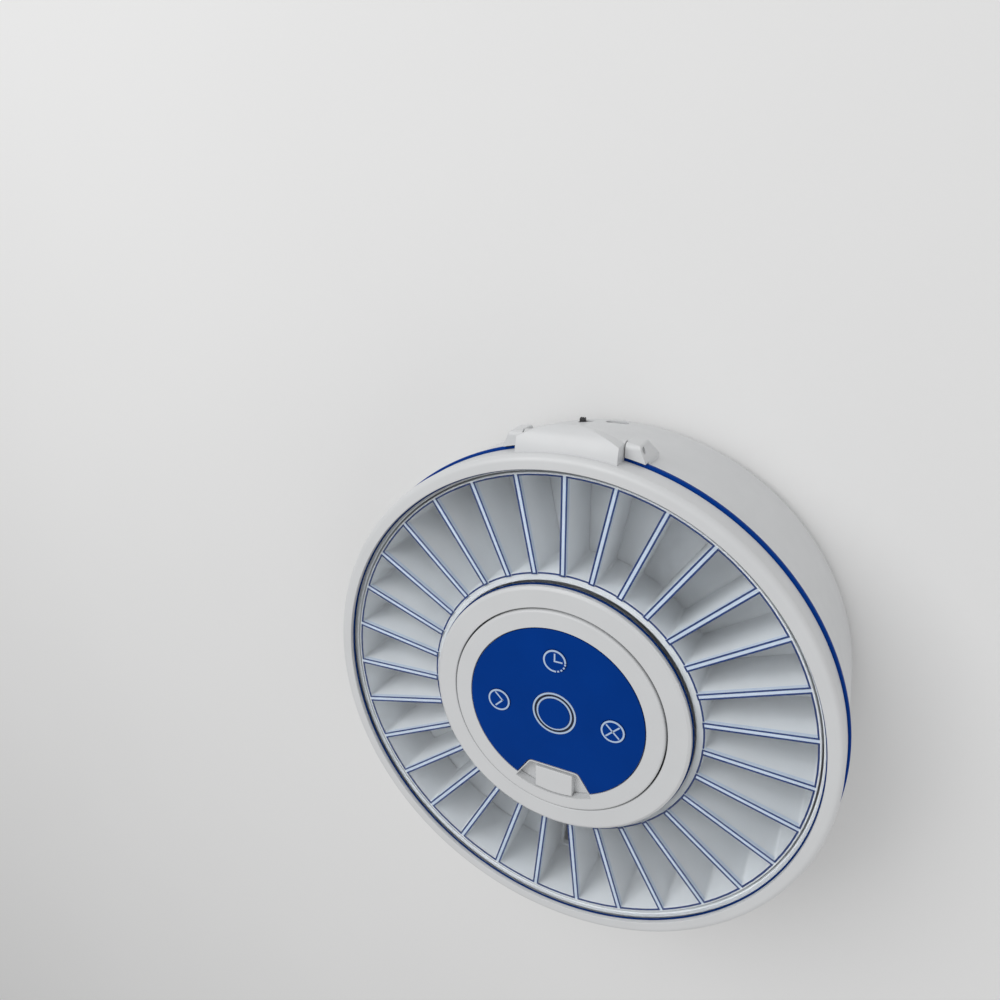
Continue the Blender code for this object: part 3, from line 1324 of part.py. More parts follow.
def make_lid_inner_ring():
    seat = WINDOW_INNER_RADIUS - SEAT_GAP
    skirt_bottom = WINDOW_BOTTOM - WINDOW_SKIRT
    profile = [
        (INNER_RING_INNER_RADIUS, LID_TOP + INNER_RING_RISE),
        (INNER_RING_OUTER_RADIUS - INNER_RING_SLOPE_WIDTH, LID_TOP + INNER_RING_RISE),
        (INNER_RING_OUTER_RADIUS, LID_TOP),
        (INNER_RING_OUTER_RADIUS, LIP_BOTTOM),
        (seat, LIP_BOTTOM),
        (seat, skirt_bottom),
        (INNER_RING_INNER_RADIUS, skirt_bottom),
    ]
    ring = turned("lid_inner_ring", profile, white(), HUB_STEPS)
    catch = block(
        "catch_pocket",
        (
            -LATCH_TONGUE_HALF_WIDTH - RUN_GAP,
            -INNER_RING_INNER_RADIUS - LATCH_CATCH - RUN_GAP,
            LATCH_PLATE_BOTTOM - RUN_GAP,
        ),
        (
            LATCH_TONGUE_HALF_WIDTH + RUN_GAP,
            -INNER_RING_INNER_RADIUS + OVERRUN,
            LATCH_PLATE_TOP + RUN_GAP,
        ),
    )
    return cut(ring, catch)


def make_drawer():
    side = DRAWER_HALF_WIDTH - DRAWER_SIDE_INSET
    tray = block(
        "drawer",
        (-side, -DRAWER_FRONT_REACH, DRAWER_BOTTOM),
        (side, -DRAWER_BACK_REACH, DRAWER_TOP),
        white(),
    )
    levels = (DRAWER_TOP, DRAWER_BOTTOM)
    outer = [(base_outer_radius(level), level) for level in levels]
    inner = [(radius - FASCIA_THICKNESS, level) for radius, level in outer[::-1]]
    fascia = turned("fascia", outer + inner)
    opening = block(
        "fascia_bounds",
        (-DRAWER_HALF_WIDTH, -BODY_RADIUS - OVERRUN, DRAWER_BOTTOM - OVERRUN),
        (DRAWER_HALF_WIDTH, -DRAWER_BACK_REACH, DRAWER_TOP + OVERRUN),
    )
    keep_common(fascia, opening)
    join(tray, fascia)
    filler = extruded("drawer_front", [drawer_front_outline(side)], DRAWER_BOTTOM, DRAWER_TOP)
    join(tray, filler)
    pull_level = DRAWER_BOTTOM + DRAWER_HEIGHT * PULL_HEIGHT_SHARE
    pull_outline = arc(PULL_RADIUS, FRONT_ANGLE - PULL_HALF_ANGLE, FRONT_ANGLE + PULL_HALF_ANGLE, 6)
    root_radius = BODY_RADIUS - BASE_TAPER - FASCIA_THICKNESS / 2
    pull_outline += arc(root_radius, FRONT_ANGLE + PULL_HALF_ANGLE, FRONT_ANGLE - PULL_HALF_ANGLE, 6)
    join(tray, extruded("pull", [pull_outline], pull_level, pull_level + PULL_THICKNESS))
    hollow = block(
        "drawer_hollow",
        (-side + DRAWER_WALL, -DRAWER_FRONT_REACH + DRAWER_WALL, DRAWER_BOTTOM + DRAWER_WALL),
        (side - DRAWER_WALL, -DRAWER_BACK_REACH - DRAWER_WALL, DRAWER_TOP + OVERRUN),
    )
    return cut(tray, hollow)


def drawer_front_outline(side):
    """Fills between the drawer's straight front and the curved fascia."""
    radius = BODY_RADIUS - BASE_TAPER - FASCIA_THICKNESS / 2
    half = math.asin(side / radius)
    start = -DRAWER_FRONT_REACH + DRAWER_WALL / 2
    return arc(radius, FRONT_ANGLE - half, FRONT_ANGLE + half, 8) + [(side, start), (-side, start)]


def make_drawer_guide(name, side):
    inner = DRAWER_HALF_WIDTH - DRAWER_SIDE_INSET + RUN_GAP
    outer = inner + GUIDE_THICKNESS
    level = FLOOR_TOP + SEAT_GAP
    wall = block(
        name,
        (min(side * inner, side * outer), -GUIDE_FRONT_REACH, level),
        (max(side * inner, side * outer), -DRAWER_BACK_REACH, level + GUIDE_HEIGHT),
        grey(),
    )
    foot_inner = outer - GUIDE_FOOT_WIDTH
    shelf_top = DRAWER_BOTTOM - SEAT_GAP
    shelf = block(
        "guide_shelf",
        (min(side * foot_inner, side * outer), -GUIDE_FRONT_REACH, level),
        (max(side * foot_inner, side * outer), -DRAWER_BACK_REACH, shelf_top),
    )
    return join(wall, shelf)


def make_drop_sensor():
    """A light gate: a fork whose two arms lie on either side of the drop hole."""
    inner = COMPARTMENT_OUTER_RADIUS * math.sin(COMPARTMENT_PITCH / 2) + SENSOR_SIDE_GAP
    outer = inner + SENSOR_ARM_WIDTH
    top = DECK_BOTTOM - SEAT_GAP
    bottom = top - SENSOR_HEIGHT
    root = COMPARTMENT_INNER_RADIUS - SENSOR_SIDE_GAP
    fork = block(
        "drop_sensor", (-outer, -SENSOR_REACH, bottom), (outer, -root + SENSOR_ARM_WIDTH, top), black()
    )
    mouth = block(
        "sensor_mouth",
        (-inner, -SENSOR_REACH - OVERRUN, bottom - OVERRUN),
        (inner, -root, top + OVERRUN),
    )
    return cut(fork, mouth)


def make_main_board():
    """The board with the parts that are soldered to it."""
    board = block(
        "main_board",
        (-MAIN_BOARD_HALF_WIDTH, MAIN_BOARD_FRONT, MAIN_BOARD_BOTTOM),
        (MAIN_BOARD_HALF_WIDTH, MAIN_BOARD_REAR, MAIN_BOARD_TOP),
        plastic("circuit_board", BOARD_GREEN, 0.4),
    )
    level = MAIN_BOARD_TOP - SEAT_GAP
    join(board, block_on("chip", CHIP_SIZE, on_board(CHIP_PLACE), level))
    join(board, block_on("connector", CONNECTOR_SIZE, on_board(CONNECTOR_PLACE), level))
    for place in CAPACITOR_PLACES:
        foot = (*on_board(place), level)
        join(board, rod("capacitor", CAPACITOR_RADIUS, foot, CAPACITOR_HEIGHT))
    return board


def on_board(place):
    """A place that is given from the middle of the main board's front edge."""
    return (place[0], MAIN_BOARD_FRONT + place[1])


def make_wireless_module():
    return block_on("wireless_module", MODULE_SIZE, on_board(MODULE_PLACE), PARTS_LEVEL, steel())


def make_usb_socket():
    centre = (0.0, USB_REACH - USB_SIZE[1] / 2)
    socket = block_on("usb_socket", USB_SIZE, centre, PARTS_LEVEL, steel())
    level = PARTS_LEVEL + (USB_SIZE[2] - USB_MOUTH[2]) / 2
    mouth = block(
        "usb_mouth",
        (-USB_MOUTH[0] / 2, USB_REACH - USB_MOUTH[1], level),
        (USB_MOUTH[0] / 2, USB_REACH + OVERRUN, level + USB_MOUTH[2]),
    )
    return cut(socket, mouth)


def make_power_switch():
    centre = (SWITCH_CENTRE_X, SWITCH_BODY_REACH - SWITCH_BODY_SIZE[1] / 2)
    body = block_on("power_switch_body", SWITCH_BODY_SIZE, centre, PARTS_LEVEL, steel())
    low, high = knob_corners()
    room = block(
        "switch_room",
        (low[0] - RUN_GAP, low[1] - RUN_GAP, low[2] - RUN_GAP),
        (high[0] + KNOB_TRAVEL + RUN_GAP, SWITCH_BODY_REACH + OVERRUN, high[2] + RUN_GAP),
    )
    cut(body, room)
    return body, block("power_switch_knob", low, high, black())


def make_speaker():
    return rod(
        "speaker",
        SPEAKER_RADIUS,
        (*SPEAKER_PLACE, FLOOR_TOP + SEAT_GAP),
        SPEAKER_HEIGHT,
        black(),
        steps=MEDIUM_STEPS,
    )


def cell_places():
    first = HOLDER_START_X + HOLDER_WALL + CELL_PITCH / 2
    return [first + i * CELL_PITCH for i in range(CELL_COUNT)]


def make_battery_holder():
    bottom = FLOOR_TOP + SEAT_GAP
    inner_top = CELL_LEVEL + CELL_RADIUS + SEAT_GAP
    holder = block(
        "battery_holder",
        (HOLDER_START_X, -HOLDER_HALF_WIDTH, bottom),
        (HOLDER_END_X, HOLDER_HALF_WIDTH, inner_top + HOLDER_WALL),
        black(),
    )
    room = block(
        "holder_room",
        (HOLDER_START_X + HOLDER_WALL, -HOLDER_HALF_WIDTH + HOLDER_WALL, bottom - OVERRUN),
        (HOLDER_END_X - HOLDER_WALL, HOLDER_HALF_WIDTH - HOLDER_WALL, inner_top),
    )
    return cut(holder, room)


def make_battery_cells():
    cells = []
    wrap = plastic("cell_wrap", CELL_BLUE, 0.35)
    for i, x in enumerate(cell_places()):
        half = CELL_LENGTH / 2
        body_length = CELL_LENGTH - CELL_NIPPLE_LENGTH
        tip = 1 if i % 2 else -1
        start = -half if tip > 0 else -half + CELL_NIPPLE_LENGTH
        name = f"battery_cell_{i + 1}"
        body = rod(name, CELL_RADIUS, (x, start, CELL_LEVEL), body_length, wrap, "Y", FOOT_STEPS)
        nipple_start = half - 2 * CELL_NIPPLE_LENGTH if tip > 0 else -half
        nipple = rod(
            "nipple",
            CELL_NIPPLE_RADIUS,
            (x, nipple_start, CELL_LEVEL),
            2 * CELL_NIPPLE_LENGTH,
            axis="Y",
            steps=PIN_STEPS,
        )
        cells.append(join(body, nipple))
    return cells


def make_battery_contact(name, side):
    """A contact strip across the ends of the cells."""
    places = cell_places()
    start = side * (CELL_LENGTH / 2 + SEAT_GAP)
    end = start + side * CONTACT_THICKNESS
    half = CONTACT_SIDE / 2
    return block(
        name,
        (places[0] - half, min(start, end), CELL_LEVEL - half),
        (places[-1] + half, max(start, end), CELL_LEVEL + half),
        steel(),
    )


def make_battery_cover():
    margin = HOLDER_WALL + SEAT_GAP
    return block(
        "battery_cover",
        (HOLDER_START_X + margin, -HOLDER_HALF_WIDTH + margin, BASE_BOTTOM),
        (HOLDER_END_X - margin, HOLDER_HALF_WIDTH - margin, COVER_TOP),
        white(),
    )


def screw_solid(name, place, head_level, head_radius, head_height, radius, length, up):
    """A screw with a round head. Up is 1 when its shank points up."""
    head_start = head_level if up > 0 else head_level - head_height
    head = rod(name, head_radius, (*place, head_start), head_height, steel(), steps=PIN_STEPS)
    if up > 0:
        shank_start = head_level + head_height - SEAT_GAP
    else:
        shank_start = head_level - head_height - length
    shank = rod("shank", radius, (*place, shank_start), length + SEAT_GAP, steps=PIN_STEPS)
    return join(head, shank)


def make_base_screws():
    screws = []
    column_bottom = FLOOR_TOP + BOSS_HEIGHT + SEAT_GAP
    head_level = BASE_BOTTOM + SEAT_GAP
    length = column_bottom + BASE_SCREW_GRIP - head_level - BASE_SCREW_HEAD_HEIGHT
    for i, angle in enumerate(COLUMN_ANGLES):
        place = around(COLUMN_CIRCLE_RADIUS, angle)
        screws.append(
            screw_solid(
                f"base_screw_{i + 1}",
                place,
                head_level,
                BASE_SCREW_HEAD_RADIUS,
                BASE_SCREW_HEAD_HEIGHT,
                BASE_SCREW_RADIUS,
                length,
                1,
            )
        )
    return screws


def make_hub_screws():
    screws = []
    flange_top = DECK_TOP + SEAT_GAP + NECK_FLANGE_THICKNESS
    head_top = flange_top + SEAT_GAP + HUB_SCREW_HEAD_HEIGHT
    length = flange_top + SEAT_GAP - DECK_BOTTOM - SEAT_GAP
    for i, angle in enumerate(HUB_SCREW_ANGLES):
        place = around(HUB_SCREW_CIRCLE_RADIUS, angle)
        screws.append(
            screw_solid(
                f"hub_screw_{i + 1}",
                place,
                head_top,
                HUB_SCREW_HEAD_RADIUS,
                HUB_SCREW_HEAD_HEIGHT,
                HUB_SCREW_RADIUS,
                length,
                -1,
            )
        )
    return screws


def make_panel_cable():
    """The cable from the main board up through the hub's neck to the control board."""
    start_y = on_board(CONNECTOR_PLACE)[1] - CONNECTOR_SIZE[1] / 2 - SEAT_GAP
    start_z = PARTS_LEVEL + CONNECTOR_SIZE[2] / 2
    end_z = CONTROL_BOARD_BOTTOM - SEAT_GAP
    route = [
        Vector((0, start_y, start_z)),
        Vector((0, 0.044, start_z + 0.001)),
        Vector((0, 0.031, 0.021)),
        Vector((0, 0.016, 0.034)),
        Vector((0, 0.011, 0.046)),
        Vector((0, 0.011, 0.056)),
        Vector((0, 0.012, end_z)),
    ]
    curve = bpy.data.curves.new("panel_cable", "CURVE")
    curve.dimensions = "3D"
    curve.bevel_depth = CABLE_RADIUS
    curve.bevel_resolution = 2
    curve.use_fill_caps = True
    points = smooth_points(route, 4)
    spline = curve.splines.new("POLY")
    spline.points.add(len(points) - 1)
    for target, point in zip(spline.points, points):
        target.co = (*point, 1.0)
    curve.materials.append(black())
    made = bpy.data.objects.new("panel_cable", curve)
    PARTS.objects.link(made)
    return made


def smooth_points(route, steps):
    """Points along a smooth curve through the route's points."""
    points = []
    last = len(route) - 1
    for i in range(last):
        before = route[max(i - 1, 0)]
        a, b = route[i], route[i + 1]
        after = route[min(i + 2, last)]
        for k in range(steps):
            t = k / steps
            point = 0.5 * (
                2 * a
                + (b - before) * t
                + (2 * before - 5 * a + 4 * b - after) * t * t
                + (3 * a - before - 3 * b + after) * t * t * t
            )
            points.append(point)
    points.append(route[-1])
    return points


def empty_at(name, place, parent=None):
    made = bpy.data.objects.new(name, None)
    PARTS.objects.link(made)
    made.location = place
    bpy.context.view_layer.update()
    if parent:
        hold(parent, [made])
    return made


def hold(parent, things):
    """Parents things to an empty and leaves them where they are."""
    bpy.context.view_layer.update()
    for thing in things:
        thing.parent = parent
        thing.matrix_parent_inverse = parent.matrix_world.inverted()


def settle(thing):
    """Bakes the modifiers into the mesh and shades its round faces smooth."""
    if thing.type != "MESH":
        return
    mesh = evaluated_mesh(thing)
    thing.modifiers.clear()
    thing.data = mesh
    mesh.shade_smooth()
    mesh.set_sharp_from_angle(angle=SMOOTH_ANGLE)


def make_dispenser():
    gearbox, can = make_gearmotor()
    switch_body, knob = make_power_switch()
    fixed = [
        make_base_shell(),
        *make_rubber_feet(),
        make_seal_band(),
        make_deck(),
        make_hub_base(),
        make_hub_cover(),
        make_control_panel(),
        make_light_ring(),
        make_control_board(),
        *make_tact_switches(),
        make_latch_spring(),
        make_hinge_pin(),
        gearbox,
        can,
        make_drawer_guide("drawer_guide_left", -1),
        make_drawer_guide("drawer_guide_right", 1),
        make_drop_sensor(),
        make_main_board(),
        make_wireless_module(),
        make_usb_socket(),
        switch_body,
        make_speaker(),
        make_battery_holder(),
        *make_battery_cells(),
        make_battery_contact("battery_contact_front", -1),
        make_battery_contact("battery_contact_rear", 1),
        make_battery_cover(),
        *make_base_screws(),
        *make_hub_screws(),
        make_panel_cable(),
    ]
    moving = {
        "lid_axis": (
            (0.0, HINGE_AXIS_REACH, HINGE_LEVEL),
            [make_lid_frame(), make_lid_window(), make_lid_inner_ring()],
        ),
        "carousel_axis": ((0.0, 0.0, TRAY_BOTTOM), [make_carousel_tray()]),
        "pinion_axis": ((*PINION_PLACE, TRAY_BOTTOM), [make_drive_pinion(), make_motor_shaft()]),
        "latch_axis": ((0.0, -LATCH_TOP_REACH, LATCH_PLATE_TOP), [make_latch_slider()]),
        "drawer_axis": ((0.0, -DRAWER_BACK_REACH, DRAWER_BOTTOM), [make_drawer()]),
        "switch_axis": ((SWITCH_CENTRE_X, KNOB_REACH, PARTS_LEVEL), [knob]),
    }
    for label, place, radius in BUTTONS:
        button = make_button(f"button_{label}", place, radius)
        moving[f"{label}_axis"] = (
            (*place, BUTTON_TOP),
            [button, make_plunger(f"plunger_{label}", place)],
        )
    for thing in list(PARTS.objects):
        settle(thing)
    for tool in list(CUTTERS.objects):
        tool.hide_viewport = True
    root = empty_at("dispenser_axis", (0.0, 0.0, 0.0))
    hold(root, fixed)
    for name, (place, things) in moving.items():
        axis = empty_at(name, place, root)
        hold(axis, things)
    root.location.y = FOOTPRINT_SHIFT


make_dispenser()
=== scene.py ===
"""Looks of the automatic pill dispenser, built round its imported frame.

Pieces are drawn in millimetres round the tray's turning axis. dress() scales them to metres,
shifts them to the footprint's centre and lets them ride on their body.
"""
import math

import bmesh
import bpy
from mathutils import Matrix, Vector


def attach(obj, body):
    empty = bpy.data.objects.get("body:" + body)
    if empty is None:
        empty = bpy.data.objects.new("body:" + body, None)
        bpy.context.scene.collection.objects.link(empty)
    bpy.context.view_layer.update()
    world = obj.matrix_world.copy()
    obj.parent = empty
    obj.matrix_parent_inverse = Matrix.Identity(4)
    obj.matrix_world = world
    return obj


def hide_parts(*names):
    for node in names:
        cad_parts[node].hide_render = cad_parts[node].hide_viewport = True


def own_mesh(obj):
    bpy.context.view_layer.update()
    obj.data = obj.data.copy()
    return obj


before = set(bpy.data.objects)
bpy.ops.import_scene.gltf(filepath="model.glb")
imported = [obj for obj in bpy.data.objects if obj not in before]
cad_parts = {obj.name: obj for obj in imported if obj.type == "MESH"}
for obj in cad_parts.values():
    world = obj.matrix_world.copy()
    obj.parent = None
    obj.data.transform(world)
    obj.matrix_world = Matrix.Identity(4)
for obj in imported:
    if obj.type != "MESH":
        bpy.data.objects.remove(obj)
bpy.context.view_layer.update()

MM = 0.001
SHIFT_Y = -3.15
PLACE = Matrix.Scale(MM, 4) @ Matrix.Translation((0, SHIFT_Y, 0))
TINY = 1e-6
FINE = 256
HUB_FINE = 160
ROUND_FINE = 96
SMALL_FINE = 40
REAR = math.pi / 2
FRONT = -math.pi / 2
FULL_TURN = 2 * math.pi

# Levels above the table
BASE_BOTTOM, FLOOR_TOP, TAPER_BOTTOM = 2.0, 4.6, 8.0
DECK_BOTTOM, DECK_TOP = 41.0, 43.4
TRAY_BOTTOM, TRAY_TOP, BAR_BOTTOM = 43.7, 70.2, 68.2
BASE_TOP = 60.7
SEAL_BOTTOM, SEAL_TOP = 61.0, 63.4
HINGE_LEVEL, EAR_BOTTOM, EAR_TOP = 61.5, 47.0, 64.5
LID_BOTTOM, RIM_LOW, LIP_BOTTOM, LID_TOP = 63.7, 69.6, 73.3, 75.2
WINDOW_BOTTOM, WINDOW_TOP = 71.0, 73.0
HUB_BOTTOM, PLATE_BOTTOM, HUB_SEAT, HUB_TOP = 54.3, 73.0, 75.0, 76.8
PANEL_BOTTOM, BUTTON_TOP = 75.3, 77.4
BUTTON_BOTTOM, COLLAR_TOP, COLLAR_BOTTOM, STEM_BOTTOM = 73.2, 72.7, 71.7, 69.2
LATCH_BOTTOM, LATCH_TOP, POST_BOTTOM = 71.0, 72.7, 69.4
DRAWER_BOTTOM, DRAWER_TOP = 9.0, 36.7
PARTS_LEVEL = 9.9

# Radii, widths and places
BODY_RADIUS, WALL = 107.0, 2.4
BOSS_CIRCLE, BOSS_ANGLES = 90.0, (50, 130, 215, 325)
FOOT_CIRCLE, FOOT_ANGLES = 82.0, (70, 110, 235, 305)
HATCH, COVER = ((39.4, -33.9), (77.0, 33.9)), ((39.7, -33.6), (76.7, 33.6))
DRAWER_HALF, FRONT_HALF = 29.0, 31.0
USB_HOLE, KNOB_SLOT = ((-5.1, 9.3), (5.1, 13.7)), ((-17.4, 10.5), (-10.6, 13.5))
SHAFT_PLACE, DECK_OUTER, DECK_INNER = (-42.0, 0.0), 103.4, 20.0
SEAL_RADIUS = 108.0
HUB_RADIUS = 45.3
PANEL_RADIUS = 37.5
CELLS = 31
CELL_INNER, CELL_OUTER, DIVIDER = 58.7, 98.0, 2.0
BAR_START, BAR_END, BAR_HALF, LINE_WIDTH = 57.9, 98.6, 1.33, 0.7
STEP_DOWN = 0.6
FLANGE_INNER = 55.3
GEAR_TEETH, GEAR_RADIUS = 52, 52.0
WELL_INNER, WELL_OUTER, WELL_TOP = 99.9, 101.9, 70.4
HINGE_REACH = 109.0
PIN_BORE, KNUCKLE_RADIUS, KNUCKLE_ROOM = 1.3, 3.0, 3.4
EAR_X, EAR_OUTER_X, EAR_ROOT_X = 20.3, 25.9, 28.1
EAR_REACH, NOSE_CENTRE = 112.1, 109.1
TONGUE_REACH, TONGUE_RADIUS = 116.3, 41.6
BUTTON_RADIUS = 4.85
BUTTON_PLACES = {"clock": (0.0, 24.4), "next": (-24.5, -0.5), "cancel": (24.8, -0.4)}
CENTRE_BUTTON_RADIUS = 6.8
LIGHT_INNER, LIGHT_OUTER, LIGHT_LINE = 6.9, 9.4, 0.75
COLLAR_RADIUS, STEM_RADIUS = 8.2, 1.5


def link(thing):
    bpy.context.scene.collection.objects.link(thing)
    return thing


def solid(name, shape):
    """An object from a bmesh, with its faces turned outwards."""
    bmesh.ops.recalc_face_normals(shape, faces=shape.faces)
    mesh = bpy.data.meshes.new(name)
    shape.to_mesh(mesh)
    shape.free()
    return link(bpy.data.objects.new(name, mesh))


def evaluated(thing):
    bpy.context.view_layer.update()
    graph = bpy.context.evaluated_depsgraph_get()
    return bpy.data.meshes.new_from_object(thing.evaluated_get(graph), depsgraph=graph)


def curve_mesh(name, curve):
    carrier = link(bpy.data.objects.new(name, curve))
    mesh = evaluated(carrier)
    bpy.data.objects.remove(carrier)
    return mesh


def wire_curve(name, radius):
    """A curve that becomes a round wire with closed ends."""
    curve = bpy.data.curves.new(name, "CURVE")
    curve.dimensions = "3D"
    curve.bevel_depth = radius
    curve.bevel_resolution = 3
    curve.use_fill_caps = True
    return curve


def around(radius, angle):
    return (radius * math.cos(angle), radius * math.sin(angle))


def arc(radius, start, end, count, centre=(0.0, 0.0)):
    points = [around(radius, start + (end - start) * i / count) for i in range(count + 1)]
    return [(centre[0] + x, centre[1] + y) for x, y in points]


def circle(radius, count, centre=(0.0, 0.0)):
    return arc(radius, 0.0, FULL_TURN, count, centre)[:-1]


def rounded(corners, steps=5, closed=True):
    """A polygon's corners, each (x, y) or (x, y, radius), with the radii drawn in as arcs."""
    points = []
    count = len(corners)
    for i, corner in enumerate(corners):
        x, y, radius = (*corner, 0.0)[:3]
        if not radius or (not closed and i in (0, count - 1)):
            points.append((x, y))
            continue
        here = Vector((x, y))
        before = (Vector(corners[i - 1][:2]) - here).normalized()
        after = (Vector(corners[(i + 1) % count][:2]) - here).normalized()
        half = before.angle(after) / 2
        centre = here + (before + after).normalized() * (radius / math.sin(half))
        start = here + before * (radius / math.tan(half)) - centre
        end = here + after * (radius / math.tan(half)) - centre
        first = math.atan2(start.y, start.x)
        turn = (math.atan2(end.y, end.x) - first + math.pi) % FULL_TURN - math.pi
        points += arc(radius, first, first + turn, steps, centre)
    return points


def box_outline(low, high, radius=0.0, steps=5):
    (x0, y0), (x1, y1) = low, high
    corners = [(x0, y0, radius), (x1, y0, radius), (x1, y1, radius), (x0, y1, radius)]
    return rounded(corners, steps)


def turned(name, profile, steps=FINE, place=(0.0, 0.0)):
    """A (radius, height) profile turned about an upright axis."""
    shape = bmesh.new()
    rings = []
    for radius, height in profile:
        count = 1 if radius < TINY else steps
        ring = [around(radius, FULL_TURN * i / steps) for i in range(count)]
        rings.append([shape.verts.new((place[0] + x, place[1] + y, height)) for x, y in ring])
    pairs = list(zip(rings, rings[1:]))
    if len(rings[0]) > 1:
        pairs.append((rings[-1], rings[0]))
    for a, b in pairs:
        for i in range(steps):
            j = (i + 1) % steps
            if len(a) == 1:
                shape.faces.new((a[0], b[i], b[j]))
            elif len(b) == 1:
                shape.faces.new((a[i], b[0], a[j]))
            else:
                shape.faces.new((a[i], b[i], b[j], a[j]))
    return solid(name, shape)


def plate(name, loops, low, high, bevel=0.0):
    """A flat outline with holes, drawn up between two levels, with rounded edges."""
    curve = bpy.data.curves.new(name, "CURVE")
    curve.dimensions = "2D"
    curve.fill_mode = "BOTH"
    curve.extrude = (high - low) / 2 - bevel
    curve.bevel_depth = bevel
    curve.offset = -bevel
    curve.bevel_resolution = 2
    for loop in loops:
        spline = curve.splines.new("POLY")
        spline.points.add(len(loop) - 1)
        for point, (x, y) in zip(spline.points, loop):
            point.co = (x, y, 0.0, 1.0)
        spline.use_cyclic_u = True
    shape = bmesh.new()
    shape.from_mesh(curve_mesh(name, curve))
    bmesh.ops.remove_doubles(shape, verts=shape.verts, dist=0.0005)
    bmesh.ops.translate(shape, vec=(0, 0, (low + high) / 2), verts=shape.verts)
    return solid(name, shape)


ACROSS = Matrix(((0, 0, 1, 0), (1, 0, 0, 0), (0, 1, 0, 0), (0, 0, 0, 1)))
ALONG = Matrix(((1, 0, 0, 0), (0, 0, 1, 0), (0, 1, 0, 0), (0, 0, 0, 1)))


def turn_over(thing, matrix):
    thing.data.transform(matrix)
    return thing


def plate_x(name, loops, low, high, bevel=0.0):
    """Like plate, with the outline in Y and Z, drawn along X."""
    return turn_over(plate(name, loops, low, high, bevel), ACROSS)


def plate_y(name, loops, low, high, bevel=0.0):
    """Like plate, with the outline in X and Z, drawn along Y."""
    made = turn_over(plate(name, loops, low, high, bevel), ALONG)
    made.data.flip_normals()
    return made


def block(name, low, high):
    shape = bmesh.new()
    bmesh.ops.create_cube(shape, size=1.0)
    low, high = Vector(low), Vector(high)
    matrix = Matrix.Translation((low + high) / 2) @ Matrix.Diagonal((*(high - low), 1.0))
    bmesh.ops.transform(shape, matrix=matrix, verts=shape.verts)
    return solid(name, shape)


def rod(name, radius, place, low, high, steps=SMALL_FINE):
    return turned(name, [(0.0, high), (radius, high), (radius, low), (0.0, low)], steps, place)


def rod_x(name, radius, place, low, high, steps=SMALL_FINE):
    """A round bar along X, whose place is in Y and Z."""
    return plate_x(name, [circle(radius, steps, place)], low, high)


def merged(name, things):
    """One object from several, without a Boolean."""
    shape = bmesh.new()
    for thing in things:
        shape.from_mesh(thing.data)
        bpy.data.objects.remove(thing)
    mesh = bpy.data.meshes.new(name)
    shape.to_mesh(mesh)
    shape.free()
    return link(bpy.data.objects.new(name, mesh))


def combined(target, tools, operation):
    """The target after a Boolean with tools that keep clear of each other."""
    tool = merged("tool", tools)
    step = target.modifiers.new("step", "BOOLEAN")
    step.operation = operation
    step.solver = "EXACT"
    step.object = tool
    mesh = evaluated(target)
    target.modifiers.clear()
    target.data = mesh
    bpy.data.objects.remove(tool)
    return target


def cut(target, *tools):
    return combined(target, tools, "DIFFERENCE")


def join(target, *tools):
    return combined(target, tools, "UNION")


def common(target, *tools):
    return combined(target, tools, "INTERSECT")


# Materials


def new_material(name):
    made = bpy.data.materials.new(name)
    made.use_nodes = True
    tree = made.node_tree
    return made, tree, tree.nodes["Principled BSDF"]


def add(tree, kind, **values):
    node = tree.nodes.new(kind)
    for key, value in values.items():
        setattr(node, key, value)
    return node


def noise(tree, scale, detail=2.0, stretch=(1.0, 1.0, 1.0)):
    """Noise in the piece's own coordinates, which are metres."""
    where = add(tree, "ShaderNodeTexCoord")
    shaped = add(tree, "ShaderNodeMapping")
    shaped.inputs["Scale"].default_value = stretch
    made = add(tree, "ShaderNodeTexNoise")
    made.inputs["Scale"].default_value = scale
    made.inputs["Detail"].default_value = detail
    tree.links.new(where.outputs["Object"], shaped.inputs["Vector"])
    tree.links.new(shaped.outputs["Vector"], made.inputs["Vector"])
    return made.outputs["Fac"]


def mix_colours(tree, factor, first, second):
    made = add(tree, "ShaderNodeMix", data_type="RGBA")
    made.inputs["A"].default_value = (*first, 1.0)
    made.inputs["B"].default_value = (*second, 1.0)
    tree.links.new(factor, made.inputs["Factor"])
    return made


def remapped(tree, value, low, high, start=0.3, end=0.7):
    made = add(tree, "ShaderNodeMapRange")
    made.inputs["From Min"].default_value = start
    made.inputs["From Max"].default_value = end
    made.inputs["To Min"].default_value = low
    made.inputs["To Max"].default_value = high
    tree.links.new(value, made.inputs["Value"])
    return made.outputs["Result"]


